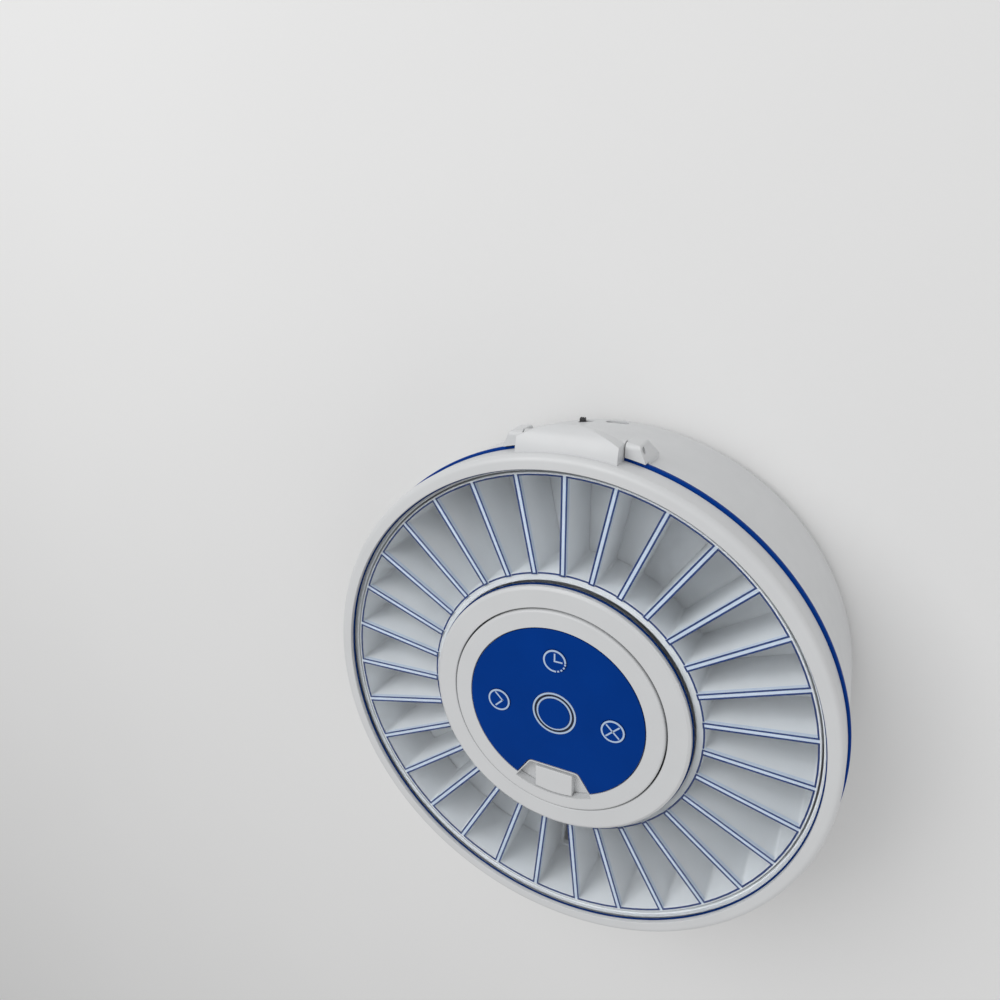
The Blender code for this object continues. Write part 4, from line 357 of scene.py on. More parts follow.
def surface(
    name,
    colour,
    roughness,
    metallic=0.0,
    vary=0.04,
    spread=0.06,
    grain=2200.0,
    depth=0.00001,
    edge=0.00025,
    stretch=(1.0, 1.0, 1.0),
    **sockets,
):
    """A material with cloudy colour and gloss, a fine grain and softened edges."""
    made, tree, shader = new_material(name)
    clouds = noise(tree, 45.0, 4.0)
    darker = [value * (1 - vary) for value in colour]
    lighter = [min(1.0, value * (1 + vary)) for value in colour]
    tint = mix_colours(tree, remapped(tree, clouds, 0.0, 1.0), darker, lighter)
    tree.links.new(tint.outputs["Result"], shader.inputs["Base Color"])
    smears = noise(tree, 130.0, 5.0, stretch)
    gloss = remapped(tree, smears, roughness - spread, roughness + spread)
    tree.links.new(gloss, shader.inputs["Roughness"])
    shader.inputs["Metallic"].default_value = metallic
    fine = noise(tree, grain, 2.0, stretch)
    bump = add(tree, "ShaderNodeBump")
    bump.inputs["Strength"].default_value = 0.6
    bump.inputs["Distance"].default_value = depth
    tree.links.new(fine, bump.inputs["Height"])
    if edge:
        soft = add(tree, "ShaderNodeBevel", samples=4)
        soft.inputs["Radius"].default_value = edge
        tree.links.new(soft.outputs["Normal"], bump.inputs["Normal"])
    tree.links.new(bump.outputs["Normal"], shader.inputs["Normal"])
    for key, value in sockets.items():
        shader.inputs[key.replace("_", " ")].default_value = value
    return made


WHITE = surface("white_plastic", (0.68, 0.69, 0.70), 0.38, vary=0.02)
TRAY = surface("tray_plastic", (0.78, 0.80, 0.82), 0.36, edge=0.00015)
BARS = surface("divider_tops", (0.58, 0.66, 0.77), 0.36, edge=0.00015)
PRINTED = {"vary": 0.06, "depth": 0.000006, "Specular_IOR_Level": 0.04}
BLUE = surface("blue_plastic", (0.0005, 0.038, 0.25), 0.40, **PRINTED)
INK = surface("line_blue", (0.0005, 0.027, 0.155), 0.40, **PRINTED)
LINE = surface("light_guide", (0.46, 0.58, 0.76), 0.4, vary=0.02, edge=0.0)
# Near-black painted shade for the gap between the light ring's two lines.
GAP_SHADE = surface("painted_gap_shade", (0.001, 0.004, 0.022), 0.4, vary=0.1, edge=0.0)
GREY = surface("grey_plastic", (0.20, 0.21, 0.23), 0.48)
BLACK = surface("black_plastic", (0.018, 0.018, 0.02), 0.45)
GEAR = surface("gear_plastic", (0.60, 0.61, 0.62), 0.42)
RUBBER = surface("rubber", (0.016, 0.016, 0.018), 0.78, depth=0.00003, grain=1400.0)
STEEL = surface(
    "steel", (0.60, 0.61, 0.62), 0.28, 1.0, spread=0.09, depth=0.000004, stretch=(1.0, 1.0, 14.0)
)
CELL_WRAP = surface("cell_wrap", (0.015, 0.16, 0.38), 0.32, spread=0.08, depth=0.000004)


def window_material():
    """Clear plastic with faint ripples and a trace of blue."""
    made, tree, shader = new_material("clear_plastic")
    haze = remapped(tree, noise(tree, 60.0, 4.0), 0.0, 0.05)
    tree.links.new(haze, shader.inputs["Roughness"])
    clouds = remapped(tree, noise(tree, 30.0), 0.0, 1.0)
    tint = mix_colours(tree, clouds, (0.945, 0.970, 0.985), (0.970, 0.985, 0.995))
    tree.links.new(tint.outputs["Result"], shader.inputs["Base Color"])
    shader.inputs["Transmission Weight"].default_value = 1.0
    shader.inputs["IOR"].default_value = 1.49
    bump = add(tree, "ShaderNodeBump")
    bump.inputs["Strength"].default_value = 0.3
    bump.inputs["Distance"].default_value = 0.00002
    tree.links.new(noise(tree, 25.0, 1.0), bump.inputs["Height"])
    tree.links.new(bump.outputs["Normal"], shader.inputs["Normal"])
    return made


def board_material(name, top):
    """Green solder mask with tracks, and black parts above the board's top."""
    made, tree, shader = new_material(name)
    where = add(tree, "ShaderNodeTexCoord")
    axes = add(tree, "ShaderNodeSeparateXYZ")
    tree.links.new(where.outputs["Object"], axes.inputs["Vector"])
    tracks = add(tree, "ShaderNodeTexBrick")
    tracks.inputs["Color1"].default_value = (0.008, 0.085, 0.035, 1.0)
    tracks.inputs["Color2"].default_value = (0.010, 0.105, 0.045, 1.0)
    tracks.inputs["Mortar"].default_value = (0.03, 0.22, 0.09, 1.0)
    tracks.inputs["Scale"].default_value = 260.0
    tracks.inputs["Mortar Size"].default_value = 0.03
    tree.links.new(where.outputs["Object"], tracks.inputs["Vector"])
    above = add(tree, "ShaderNodeMath", operation="GREATER_THAN")
    above.inputs[1].default_value = top
    tree.links.new(axes.outputs["Z"], above.inputs[0])
    both = add(tree, "ShaderNodeMix", data_type="RGBA")
    both.inputs["B"].default_value = (0.02, 0.02, 0.022, 1.0)
    tree.links.new(above.outputs["Value"], both.inputs["Factor"])
    tree.links.new(tracks.outputs["Color"], both.inputs["A"])
    tree.links.new(both.outputs["Result"], shader.inputs["Base Color"])
    gloss = remapped(tree, noise(tree, 300.0), 0.25, 0.4)
    tree.links.new(gloss, shader.inputs["Roughness"])
    return made


WINDOW = window_material()


def dress(thing, name, material, body, nodes=()):
    """Scales a finished piece, gives it its material and lets it ride in place of its nodes."""
    thing.name = name
    mesh = thing.data
    mesh.transform(PLACE)
    mesh.materials.clear()
    mesh.materials.append(material)
    mesh.shade_smooth()
    mesh.set_sharp_from_angle(angle=math.radians(34))
    even = thing.modifiers.new("even", "WEIGHTED_NORMAL")
    even.keep_sharp = True
    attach(thing, body)
    if nodes:
        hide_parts(*nodes)
    return thing


# Base


def base_radius(level):
    return BODY_RADIUS - 2.0 * (BASE_TOP - level) / (BASE_TOP - TAPER_BOTTOM)


def boss_places():
    return [around(BOSS_CIRCLE, math.radians(degrees)) for degrees in BOSS_ANGLES]


def foot_places():
    return [around(FOOT_CIRCLE, math.radians(degrees)) for degrees in FOOT_ANGLES]


def hinge_rod(name, radius, half_width):
    """A bar on the hinge's axis."""
    return rod_x(name, radius, (HINGE_REACH, HINGE_LEVEL), -half_width, half_width)


def knuckle_room():
    return hinge_rod("knuckle_room", KNUCKLE_ROOM, EAR_X)


def pin_bore():
    return hinge_rod("pin_bore", PIN_BORE, EAR_OUTER_X + 4)


def hinge_ear(side):
    """One hinge ear: a flat inner side, a round nose and an outer side swept into the body."""
    start = BODY_RADIUS - 2 * WALL
    sweep_start, sweep_end, sweep_steps = 111.0, 104.2, 16
    sweep = []
    for i in range(sweep_steps + 1):
        share = i / sweep_steps
        bend = share * share * (3 - 2 * share)
        x = EAR_OUTER_X + (EAR_ROOT_X - EAR_OUTER_X) * bend
        sweep.append((side * x, sweep_start + (sweep_end - sweep_start) * share))
    plan = [(side * EAR_X, start), (side * EAR_X, EAR_REACH, 0.6), (*sweep[0], 1.2)]
    plan += sweep[3:] + [(side * EAR_ROOT_X, start)]
    ear = plate("ear", [rounded(plan)], EAR_BOTTOM, EAR_TOP)
    nose = arc(EAR_TOP - HINGE_LEVEL, REAR, 0.0, 12, (NOSE_CENTRE, HINGE_LEVEL))
    outline = [(start - 1, EAR_BOTTOM), (start - 1, EAR_TOP), *nose]
    outline += [(EAR_REACH, EAR_BOTTOM + 8.5), (BODY_RADIUS - WALL, EAR_BOTTOM)]
    common(ear, plate_x("ear_side", [outline], -40, 40))
    return cut(ear, rod("lid_room", SEAL_RADIUS + 0.3, (0, 0), BASE_TOP, 90, FINE))


def make_base():
    corners = [
        (0.0, FLOOR_TOP),
        (102.4, FLOOR_TOP, 3.6),
        (BODY_RADIUS - WALL, BASE_TOP, 0.4),
        (BODY_RADIUS, BASE_TOP, 0.5),
        (104.77, BASE_BOTTOM, 6.0),
        (0.0, BASE_BOTTOM),
    ]
    shell = turned("base", rounded(corners, 8, closed=False))
    join(shell, hinge_ear(-1), hinge_ear(1))
    cut(shell, rod("hollow", BODY_RADIUS - WALL, (0, 0), 45, 70, FINE))
    cut(shell, knuckle_room())
    cut(shell, pin_bore())
    bosses = []
    mouth = FRONT_HALF + 0.4
    holes = [
        block("mouth", (-mouth, -112, DRAWER_BOTTOM - 0.4), (mouth, -92.4, DRAWER_TOP + 0.4)),
        plate("hatch", [box_outline(*HATCH, 1.2)], 0, 8),
        plate_y("usb_hole", [box_outline(*USB_HOLE, 2.1)], 97, 112),
        plate_y("knob_slot", [box_outline(*KNOB_SLOT, 0.6)], 97, 112),
    ]
    shank, head, seat, top = 1.7, 3.1, 4.3, 12.0
    profile = [(0.0, top), (shank, top), (shank, seat), (head, seat), (head, 0.0), (0.0, 0.0)]
    for place in boss_places():
        bosses.append(rod("boss", 5.0, place, FLOOR_TOP - 0.3, FLOOR_TOP + 5.4))
        holes.append(turned("hole", profile, SMALL_FINE, place))
    for place in foot_places():
        holes.append(rod("foot_seat", 8.3, place, 0.0, 2.8, ROUND_FINE))
    middle_y, pitch, slot_half = -12.0, 3.6, 0.75
    for i in range(5):
        y = middle_y + (i - 2) * pitch
        slot = box_outline((-69.0, y - slot_half), (-51.0, y + slot_half), slot_half - 0.01)
        holes.append(plate("grille", [slot], 0, 8))
    for x in (-28.0, 28.0):
        for y in (56.0, 92.0):
            bosses.append(rod("standoff", 2.2, (x, y), FLOOR_TOP - 0.3, FLOOR_TOP + 3.1))
    join(shell, *bosses)
    cut(shell, *holes)
    dress(shell, "base_body", WHITE, "base", ["base_shell"])


def make_feet():
    radius, height = 8.0, 2.5
    corners = [(0.0, height), (radius, height), (radius, 0.0, 0.9)]
    for groove in (5.6, 3.6):
        corners += [(groove, 0.0, 0.15), (groove - 0.3, 0.4), (groove - 0.6, 0.0, 0.15)]
    corners += [(0.0, 0.0)]
    for i, place in enumerate(foot_places()):
        foot = turned("foot", rounded(corners, 4, closed=False), ROUND_FINE, place)
        dress(foot, f"foot_pad_{i + 1}", RUBBER, "base", [f"rubber_foot_{i + 1}"])


def make_seal():
    inner = BODY_RADIUS - WALL + 0.3
    corners = [(inner, SEAL_TOP), (SEAL_RADIUS, SEAL_TOP, 0.7)]
    corners += [(SEAL_RADIUS, SEAL_BOTTOM, 0.7), (inner, SEAL_BOTTOM)]
    band = cut(turned("seal", rounded(corners)), knuckle_room())
    dress(band, "seal_ring", BLUE, "base", ["seal_band"])


def cell_outline(centre, margin=0.0, corner=0.0):
    """One compartment, with side walls of even thickness."""
    outer_steps, inner_steps = 8, 5
    half = math.pi / CELLS
    side = DIVIDER / 2 + margin
    outer, inner = CELL_OUTER - margin, CELL_INNER + margin
    outer_half = half - math.asin(side / outer)
    inner_half = half - math.asin(side / inner)
    points = arc(outer, centre - outer_half, centre + outer_half, outer_steps)
    points += arc(inner, centre + inner_half, centre - inner_half, inner_steps)
    ends = (0, outer_steps, outer_steps + 1, len(points) - 1)
    return rounded([(*p, corner if i in ends else 0.0) for i, p in enumerate(points)], 4)


def make_deck():
    corners = [
        (DECK_INNER, DECK_TOP, 0.2),
        (WELL_INNER, DECK_TOP, 0.5),
        (WELL_INNER, WELL_TOP, 0.4),
        (WELL_OUTER, WELL_TOP, 0.4),
        (WELL_OUTER, DECK_TOP),
        (DECK_OUTER, DECK_TOP),
        (DECK_OUTER, DECK_BOTTOM),
        (DECK_INNER, DECK_BOTTOM),
    ]
    deck = turned("deck", rounded(corners))
    through = (DECK_BOTTOM - 3, DECK_TOP + 3)
    holes = [
        plate("drop_hole", [cell_outline(FRONT, 1.2, 1.0)], *through),
        rod("shaft_hole", 3.2, SHAFT_PLACE, *through),
    ]
    for degrees in (90, 225, 315):
        place = around(23.2, math.radians(degrees))
        holes.append(rod("screw_hole", 1.4, place, *through))
    cut(deck, *holes)
    columns = [rod("column", 4.0, place, 10.3, DECK_BOTTOM + 0.5) for place in boss_places()]
    deck = merged("deck", [deck, *columns])
    dress(deck, "deck_floor", TRAY, "base", ["deck"])


# Tray


def cell_angle(i):
    return REAR + i * FULL_TURN / CELLS


def make_carousel():
    loops = [circle(CELL_OUTER + 1.2, CELLS * 8), circle(CELL_INNER - 1.4, CELLS * 5)]
    loops += [cell_outline(cell_angle(i + 0.5), 0.0, 1.1) for i in range(CELLS)]
    walls = plate("walls", loops, TRAY_BOTTOM, TRAY_TOP - STEP_DOWN, 0.25)
    bars = []
    for i in range(CELLS):
        outline = box_outline((BAR_START, -BAR_HALF), (BAR_END, BAR_HALF))
        bar = plate("bar", [outline], BAR_BOTTOM, TRAY_TOP - 0.06, 0.1)
        bars.append(turn_over(bar, Matrix.Rotation(cell_angle(i), 4, "Z")))
    inner, outer, low = 98.3, 99.2, TRAY_TOP - 1.2
    rim = [(inner, low), (inner, TRAY_TOP, 0.3), (outer, TRAY_TOP, 0.3), (outer, low)]
    inner, outer, low, high = FLANGE_INNER, 57.6, BAR_BOTTOM, TRAY_TOP - STEP_DOWN
    flange = [(inner, low), (inner, high, 0.3), (outer, high), (outer, low)]
    teeth = gear_outline(GEAR_TEETH, GEAR_RADIUS, math.pi + math.pi / GEAR_TEETH, -1)
    gear = plate("gear", [circle(58.0, CELLS * 5), teeth], TRAY_BOTTOM, TRAY_BOTTOM + 5.8)
    rings = [turned("rim", rounded(rim)), turned("flange", rounded(flange))]
    tray = merged("tray", [walls, *rings, gear])
    dress(tray, "carousel", TRAY, "carousel", ["carousel_tray"])
    dress(merged("bars", bars), "divider_tops", BARS, "carousel")


def make_tray_lines():
    """The blue lines that edge each divider and each compartment, as drawn."""
    lines = []
    inset, depth = 0.03, 0.3
    outer, inner = BAR_HALF - inset, BAR_HALF - inset - LINE_WIDTH
    start, low = BAR_START + inset, TRAY_TOP - depth
    radius = BAR_END - LINE_WIDTH / 2
    gap = math.asin(inner / radius)
    for i in range(CELLS):
        angle = cell_angle(i)
        bend = [(BAR_END, -outer), (start, -outer), (start, outer), (BAR_END, outer)]
        bend += [(BAR_END, inner), (start + LINE_WIDTH, inner)]
        bend += [(start + LINE_WIDTH, -inner), (BAR_END, -inner)]
        line = plate("line", [bend], low, TRAY_TOP, 0.04)
        lines.append(turn_over(line, Matrix.Rotation(angle, 4, "Z")))
        ends = (angle + gap, angle + FULL_TURN / CELLS - gap)
        lines.append(arc_band("end", radius, LINE_WIDTH, *ends, low, TRAY_TOP + 0.02, (0.0, 0.0)))
    high = TRAY_TOP - STEP_DOWN + inset
    low = high - depth
    outer = CELL_INNER - 0.05
    inner = outer - LINE_WIDTH
    lines.append(turned("ring", [(inner, low), (inner, high), (outer, high), (outer, low)]))
    dress(merged("lines", lines), "divider_lines", INK, "carousel")


def gear_outline(teeth, pitch_radius, phase, outward):
    pitch = FULL_TURN / teeth
    tip = pitch_radius + outward * 1.8
    root = pitch_radius - outward * 2.2
    points = []
    for i in range(teeth):
        middle = phase + i * pitch
        for radius, share in ((root, -0.28), (tip, -0.13), (tip, 0.13), (root, 0.28)):
            points.append(around(radius, middle + share * pitch))
    return points


# Lid


def lid_tongue(half_width):
    """The hinge's tongue: a round front edge, and a hood that falls off towards the rear."""
    inside, front_steps, rise = BODY_RADIUS - WALL, 40, 7.8
    half = math.asin(half_width / TONGUE_RADIUS)
    centre = (0.0, TONGUE_REACH - TONGUE_RADIUS)
    front = arc(TONGUE_RADIUS, REAR - half, REAR + half, front_steps, centre)
    root_half = math.asin(half_width / inside)
    root = arc(inside, REAR + root_half, REAR - root_half, 24)
    ends = (0, front_steps)
    plan = rounded([(*p, 0.7 if i in ends else 0.0) for i, p in enumerate(front + root)])
    tongue = plate("tongue", [plan], LID_BOTTOM, LID_BOTTOM + 9.8)
    crown = arc(1.0, REAR, 0.0, 20)
    hood = [(inside + (TONGUE_REACH - inside) * a, LID_BOTTOM + rise * b) for a, b in crown]
    hood = [(inside - 1, LID_BOTTOM - 2), (inside - 1, LID_BOTTOM + rise), *hood]
    hood += [(TONGUE_REACH, LID_BOTTOM - 2)]
    return common(tongue, plate_x("hood", [hood], -half_width - 2, half_width + 2))


def make_lid_ring():
    rim_inner, ledge = 101.3, 103.3
    corners = [
        (rim_inner, LID_TOP, 0.35),
        (BODY_RADIUS, LID_TOP, 2.8),
        (BODY_RADIUS, LID_BOTTOM, 0.4),
        (BODY_RADIUS - WALL, LID_BOTTOM, 0.3),
        (BODY_RADIUS - WALL, 68.4),
        (ledge, RIM_LOW),
        (ledge, LIP_BOTTOM),
        (rim_inner, LIP_BOTTOM, 0.3),
    ]
    lid = turned("lid", rounded(corners, 10))
    half_width = EAR_X - 0.4
    join(lid, lid_tongue(half_width))
    join(lid, hinge_rod("knuckle", KNUCKLE_RADIUS, half_width))
    cut(lid, pin_bore())
    dress(lid, "lid_ring", WHITE, "lid", ["lid_frame"])


def make_window():
    inner, outer, soft = 53.1, 103.0, 0.2
    corners = [(inner, WINDOW_TOP, soft), (outer, WINDOW_TOP, soft)]
    corners += [(outer, WINDOW_BOTTOM, soft), (inner, WINDOW_BOTTOM, soft)]
    window = turned("window", rounded(corners, 3))
    dress(window, "lid_pane", WINDOW, "lid", ["lid_window"])
    window.visible_shadow = False


def make_lid_collar():
    inner, foot_outer, outer, top = 45.95, 52.8, 54.8, 76.0
    corners = [
        (inner, top, 0.45),
        (53.6, top, 0.8),
        (outer, LID_TOP, 0.3),
        (outer, LIP_BOTTOM, 0.2),
        (foot_outer, LIP_BOTTOM),
        (foot_outer, RIM_LOW, 0.2),
        (inner, RIM_LOW, 0.3),
    ]
    collar = turned("ring", rounded(corners), HUB_FINE)
    pocket = block("pocket", (-5.6, -47.75, LATCH_BOTTOM - 0.4), (5.6, -44.0, LATCH_TOP + 0.4))
    cut(collar, pocket)
    dress(collar, "lid_collar", WHITE, "lid", ["lid_inner_ring"])


def make_window_seals():
    """The blue lines that edge the window, as drawn."""
    seals = []
    for inner in (100.77, 54.75):
        outer, low, high = inner + 0.6, WINDOW_TOP - 0.02, WINDOW_TOP + 0.5
        corners = [(inner, low), (inner, high, 0.2), (outer, high, 0.2), (outer, low)]
        seals.append(turned("seal", rounded(corners)))
    dress(merged("seals", seals), "window_seals", INK, "lid")


# Hub


def recess_outline(rim, steps=8):
    """The finger recess: a trapezoid with two rounded corners, closed by an arc at the front."""
    rear_half, front_half, rear_y, front_y, soft = 10.4, 16.8, -26.6, -35.5, 1.8
    lean = math.atan2(front_half - rear_half, rear_y - front_y)
    sides = []
    for side in (1, -1):
        centre = (side * (rear_half - 0.9), rear_y - soft)
        corner = arc(soft + rim, REAR, REAR - side * (REAR - lean), steps, centre)
        sides.append((corner, (side * (front_half + rim * math.cos(lean)), front_y)))
    (right_corner, right_foot), (left_corner, left_foot) = sides
    start = math.atan2(right_foot[1], right_foot[0])
    end = math.atan2(left_foot[1], left_foot[0])
    return right_corner + arc(39.7, start, end, 24) + left_corner[::-1]


def make_hub_cover():
    seat_radius, inside = 37.9, 43.3
    corners = [
        (0.0, HUB_SEAT),
        (seat_radius, HUB_SEAT),
        (seat_radius, HUB_TOP, 0.25),
        (HUB_RADIUS, HUB_TOP, 1.0),
        (HUB_RADIUS, HUB_BOTTOM, 0.3),
        (inside, HUB_BOTTOM, 0.3),
        (inside, PLATE_BOTTOM),
        (0.0, PLATE_BOTTOM),
    ]
    cover = turned("cover", rounded(corners, 6, closed=False), HUB_FINE)
    join(cover, plate("collar", [recess_outline(0.5)], HUB_SEAT - 0.3, HUB_TOP))
    cut(cover, plate("recess", [recess_outline(0.0)], PLATE_BOTTOM - 2, HUB_TOP + 2))
    holes = [rod("hole", 5.15, place, 70, 80) for place in BUTTON_PLACES.values()]
    holes.append(rod("hole", 7.5, (0, 0), 70, 80))
    holes.append(block("tongue_slot", (-5.6, -47, LATCH_BOTTOM - 0.4), (5.6, -42, PLATE_BOTTOM)))
    cut(cover, *holes)
    post = block("post", (-3.0, -12.2, POST_BOTTOM), (3.0, -10.7, PLATE_BOTTOM + 0.3))
    cover = merged("cover", [cover, post])
    dress(cover, "hub_top", WHITE, "base", ["hub_cover"])


def make_panel():
    """A disc, notched for the finger recess."""
    steps = 8
    notch = recess_outline(0.9, steps)
    right_corner, left_corner = notch[:steps + 1], notch[-steps - 1:]

    def meet(point, foot):
        """Where the notch's side leaves the disc."""
        start, end = Vector(point), Vector(foot)
        low, high = 0.0, 1.0
        for _ in range(40):
            middle = (low + high) / 2
            if start.lerp(end, middle).length < PANEL_RADIUS:
                low = middle
            else:
                high = middle
        return tuple(start.lerp(end, low))

    right = meet(right_corner[-1], notch[steps + 1])
    left = meet(left_corner[0], notch[-steps - 2])
    start = math.atan2(right[1], right[0])
    end = math.atan2(left[1], left[0]) + FULL_TURN
    outline = arc(PANEL_RADIUS, start, end, HUB_FINE) + left_corner + right_corner
    loops = [outline, circle(LIGHT_OUTER + 0.12, ROUND_FINE)]
    loops += [circle(BUTTON_RADIUS + 0.13, ROUND_FINE, place) for place in BUTTON_PLACES.values()]
    panel = plate("panel", loops, PANEL_BOTTOM, HUB_TOP, 0.16)
    dress(panel, "panel_face", BLUE, "base", ["control_panel"])


def ring(name, inner, outer, low, high, place=(0.0, 0.0), soft=0.06):
    corners = [(inner, high, soft), (outer, high, soft), (outer, low), (inner, low)]
    return turned(name, rounded(corners, 3), ROUND_FINE, place)


def stroke(name, start, end, width, low, high, place):
    """A straight line with square ends."""
    start, end = Vector(start), Vector(end)
    along = (end - start).normalized()
    across = Vector((-along.y, along.x)) * width / 2
    points = [start - across, end - across, end + across, start + across]
    outline = [(place[0] + p.x, place[1] + p.y) for p in points]
    return plate(name, [outline], low, high, 0.05)


def arc_band(name, radius, width, start, end, low, high, place):
    steps = max(2, round(abs(end - start) * 16))
    outer = arc(radius + width / 2, start, end, steps, place)
    inner = arc(radius - width / 2, end, start, steps, place)
    return plate(name, [outer + inner], low, high, 0.05)


def make_icon(label, place, body):
    """The button's icon, as lines that stand just proud of its cap."""
    low, high = BUTTON_TOP - 0.3, BUTTON_TOP
    width, rim_width, rim_radius = 0.66, 0.74, 4.5
    dash_half = 0.09
    strokes = {
        "clock": [((0, -width / 2), (0, 3.4)), ((width / 2, 0), (3.4, 0))],
        "next": [((-1.64, 3.55), (1.85, 0.0)), ((1.75, 0.35), (-1.55, -2.95))],
        "cancel": [((-2.75, 2.65), (2.75, -2.65)), ((2.75, 2.65), (-2.75, -2.65))],
    }
    lines = []
    if label == "clock":
        spans = [(0.0, 3 * REAR)]
        spans += [(m - dash_half, m + dash_half) for m in (-0.15, -0.5, -0.85, -1.2, -1.5)]
        for span in spans:
            lines.append(arc_band("rim", rim_radius, rim_width, *span, low, high, place))
    else:
        half = rim_width / 2
        lines.append(ring("rim", rim_radius - half, rim_radius + half, low, high, place))
    for start, end in strokes[label]:
        lines.append(stroke("stroke", start, end, width, low, high, place))
    dress(merged("icon", lines), f"icon_{label}", LINE, body)


def make_buttons():
    top = BUTTON_TOP - 0.05
    corners = [(0.0, top), (BUTTON_RADIUS, top, 0.25)]
    corners += [(BUTTON_RADIUS, BUTTON_BOTTOM), (0.0, BUTTON_BOTTOM)]
    skirt_corners = [
        (0.0, COLLAR_TOP),
        (5.9, COLLAR_TOP),
        (5.9, COLLAR_BOTTOM),
        (STEM_RADIUS, COLLAR_BOTTOM),
        (STEM_RADIUS, STEM_BOTTOM),
        (0.0, STEM_BOTTOM),
    ]
    for label, place in BUTTON_PLACES.items():
        cap = turned("cap", rounded(corners, 5, closed=False), ROUND_FINE, place)
        skirt = turned("skirt", skirt_corners, SMALL_FINE, place)
        neck = rod("neck", 4.6, place, 72.5, 73.4)
        body = f"{label}_button"
        cap = merged("cap", [cap, neck, skirt])
        dress(cap, f"cap_{label}", BLUE, body, [f"button_{label}"])
        make_icon(label, place, body)


def make_centre_button():
    corners = [
        (0.0, BUTTON_TOP),
        (CENTRE_BUTTON_RADIUS, BUTTON_TOP, 0.3),
        (CENTRE_BUTTON_RADIUS, COLLAR_TOP),
        (COLLAR_RADIUS, COLLAR_TOP),
        (COLLAR_RADIUS, COLLAR_BOTTOM),
        (STEM_RADIUS, COLLAR_BOTTOM),
        (STEM_RADIUS, STEM_BOTTOM),
        (0.0, STEM_BOTTOM),
    ]
    cap = turned("cap", rounded(corners, 5, closed=False), ROUND_FINE)
    dress(cap, "cap_centre", BLUE, "centre_button", ["button_centre"])


def make_light_ring():
    """Two light lines round the centre button, with painted shade as a near-black ring in the gap
    between them.
    """
    gap_inner, gap_outer = LIGHT_INNER + LIGHT_LINE, LIGHT_OUTER - LIGHT_LINE
    inner_line = ring("line", LIGHT_INNER, gap_inner, PANEL_BOTTOM, HUB_TOP + 0.1)
    outer_line = ring("line", gap_outer, LIGHT_OUTER, PANEL_BOTTOM, HUB_TOP + 0.1)
    lines = merged("lines", [inner_line, outer_line])
    dress(lines, "light_lines", LINE, "base", ["light_ring"])
    # A near-black ring, just below the light lines, paints the shade in the gap between them.
    gap = ring("gap", gap_inner - 0.05, gap_outer + 0.05, PANEL_BOTTOM, HUB_TOP - 0.1)
    dress(gap, "light_gap_shade", GAP_SHADE, "base")


def make_latch():
    pad_half, pad_radius, pad_rear, pad_steps = 8.2, 39.3, -28.6, 12
    slab_half, slab_rear = 18.5, -22.0
    front = arc(42.9, FRONT - 0.45, FRONT + 0.45, 24)
    outline = front + [(slab_half, slab_rear), (-slab_half, slab_rear)]
    slab = plate("slab", [outline], LATCH_BOTTOM, LATCH_TOP, 0.1)
    outline = box_outline((-5.2, -47.35), (5.2, pad_rear), 0.3)
    tongue = plate("tongue", [outline], LATCH_BOTTOM, LATCH_TOP, 0.2)
    half = math.asin(pad_half / pad_radius)
    pad = arc(pad_radius, FRONT - half, FRONT + half, pad_steps)
    pad += [(pad_half, pad_rear), (-pad_half, pad_rear)]
    pad = rounded([(*p, 0.4 if i > pad_steps else 0.0) for i, p in enumerate(pad)])
    button = plate("pad", [pad], LATCH_TOP - 0.3, HUB_TOP - 0.6, 0.3)
    tab = block("tab", (-3.0, -23.5, POST_BOTTOM), (3.0, slab_rear, LATCH_BOTTOM + 0.3))
    latch = merged("latch", [slab, tongue, button, tab])
    dress(latch, "latch", WHITE, "latch", ["latch_slider"])


def make_spring():
    """The latch's coil, which is pressed towards its post as the latch slides."""
    start, end, level = -21.5, -12.7, 71.1
    turns, steps, coil_radius = 5, 24, 1.4
    curve = wire_curve("coil", 0.2)
    spline = curve.splines.new("POLY")
    spline.points.add(turns * steps)
    for i, point in enumerate(spline.points):
        x, z = around(coil_radius, FULL_TURN * i / steps)
        point.co = (x, start + (end - start) * i / (turns * steps), level + z, 1.0)
    coil = link(bpy.data.objects.new("coil", curve_mesh("coil", curve)))
    dress(coil, "latch_coil", STEEL, "base", ["latch_spring"])
    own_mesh(coil)


# Drawer, sockets and fastenings


def make_drawer():
    side, wall = DRAWER_HALF, 1.6
    tray = block("tray", (-side, -99.5, DRAWER_BOTTOM), (side, -40.0, DRAWER_TOP))
    inside, filler_radius = 99.8, 103.2
    outer = [(base_radius(level), level) for level in (DRAWER_TOP, DRAWER_BOTTOM)]
    front = turned("front", outer + [(inside, DRAWER_BOTTOM), (inside, DRAWER_TOP)])
    bounds = [box_outline((-FRONT_HALF, DRAWER_BOTTOM), (FRONT_HALF, DRAWER_TOP), 0.8)]
    common(front, plate_y("bounds", bounds, -112, -90))
    half = math.asin(side / filler_radius)
    core = arc(filler_radius, FRONT - half, FRONT + half, 24)
    core += [(side, -98.5), (-side, -98.5)]
    filler = plate("filler", [core], DRAWER_BOTTOM, DRAWER_TOP)
    join(tray, filler)
    join(tray, front)
    half, steps = math.radians(8), 12
    lip = arc(110.0, FRONT - half, FRONT + half, steps)
    lip += arc(103.8, FRONT + half, FRONT - half, steps)
    lip = rounded([(*p, 1.0 if i in (0, steps) else 0.0) for i, p in enumerate(lip)])
    level = DRAWER_BOTTOM + 0.55 * 27.7
    join(tray, plate("lip", [lip], level, level + 2.6, 0.7))
    hollow = [box_outline((-side + wall, -97.9), (side - wall, -41.6), 2.5, 8)]
    cut(tray, plate("hollow", hollow, DRAWER_BOTTOM + wall, DRAWER_TOP + 4))
    dress(tray, "pill_tray", WHITE, "pill_drawer", ["drawer"])


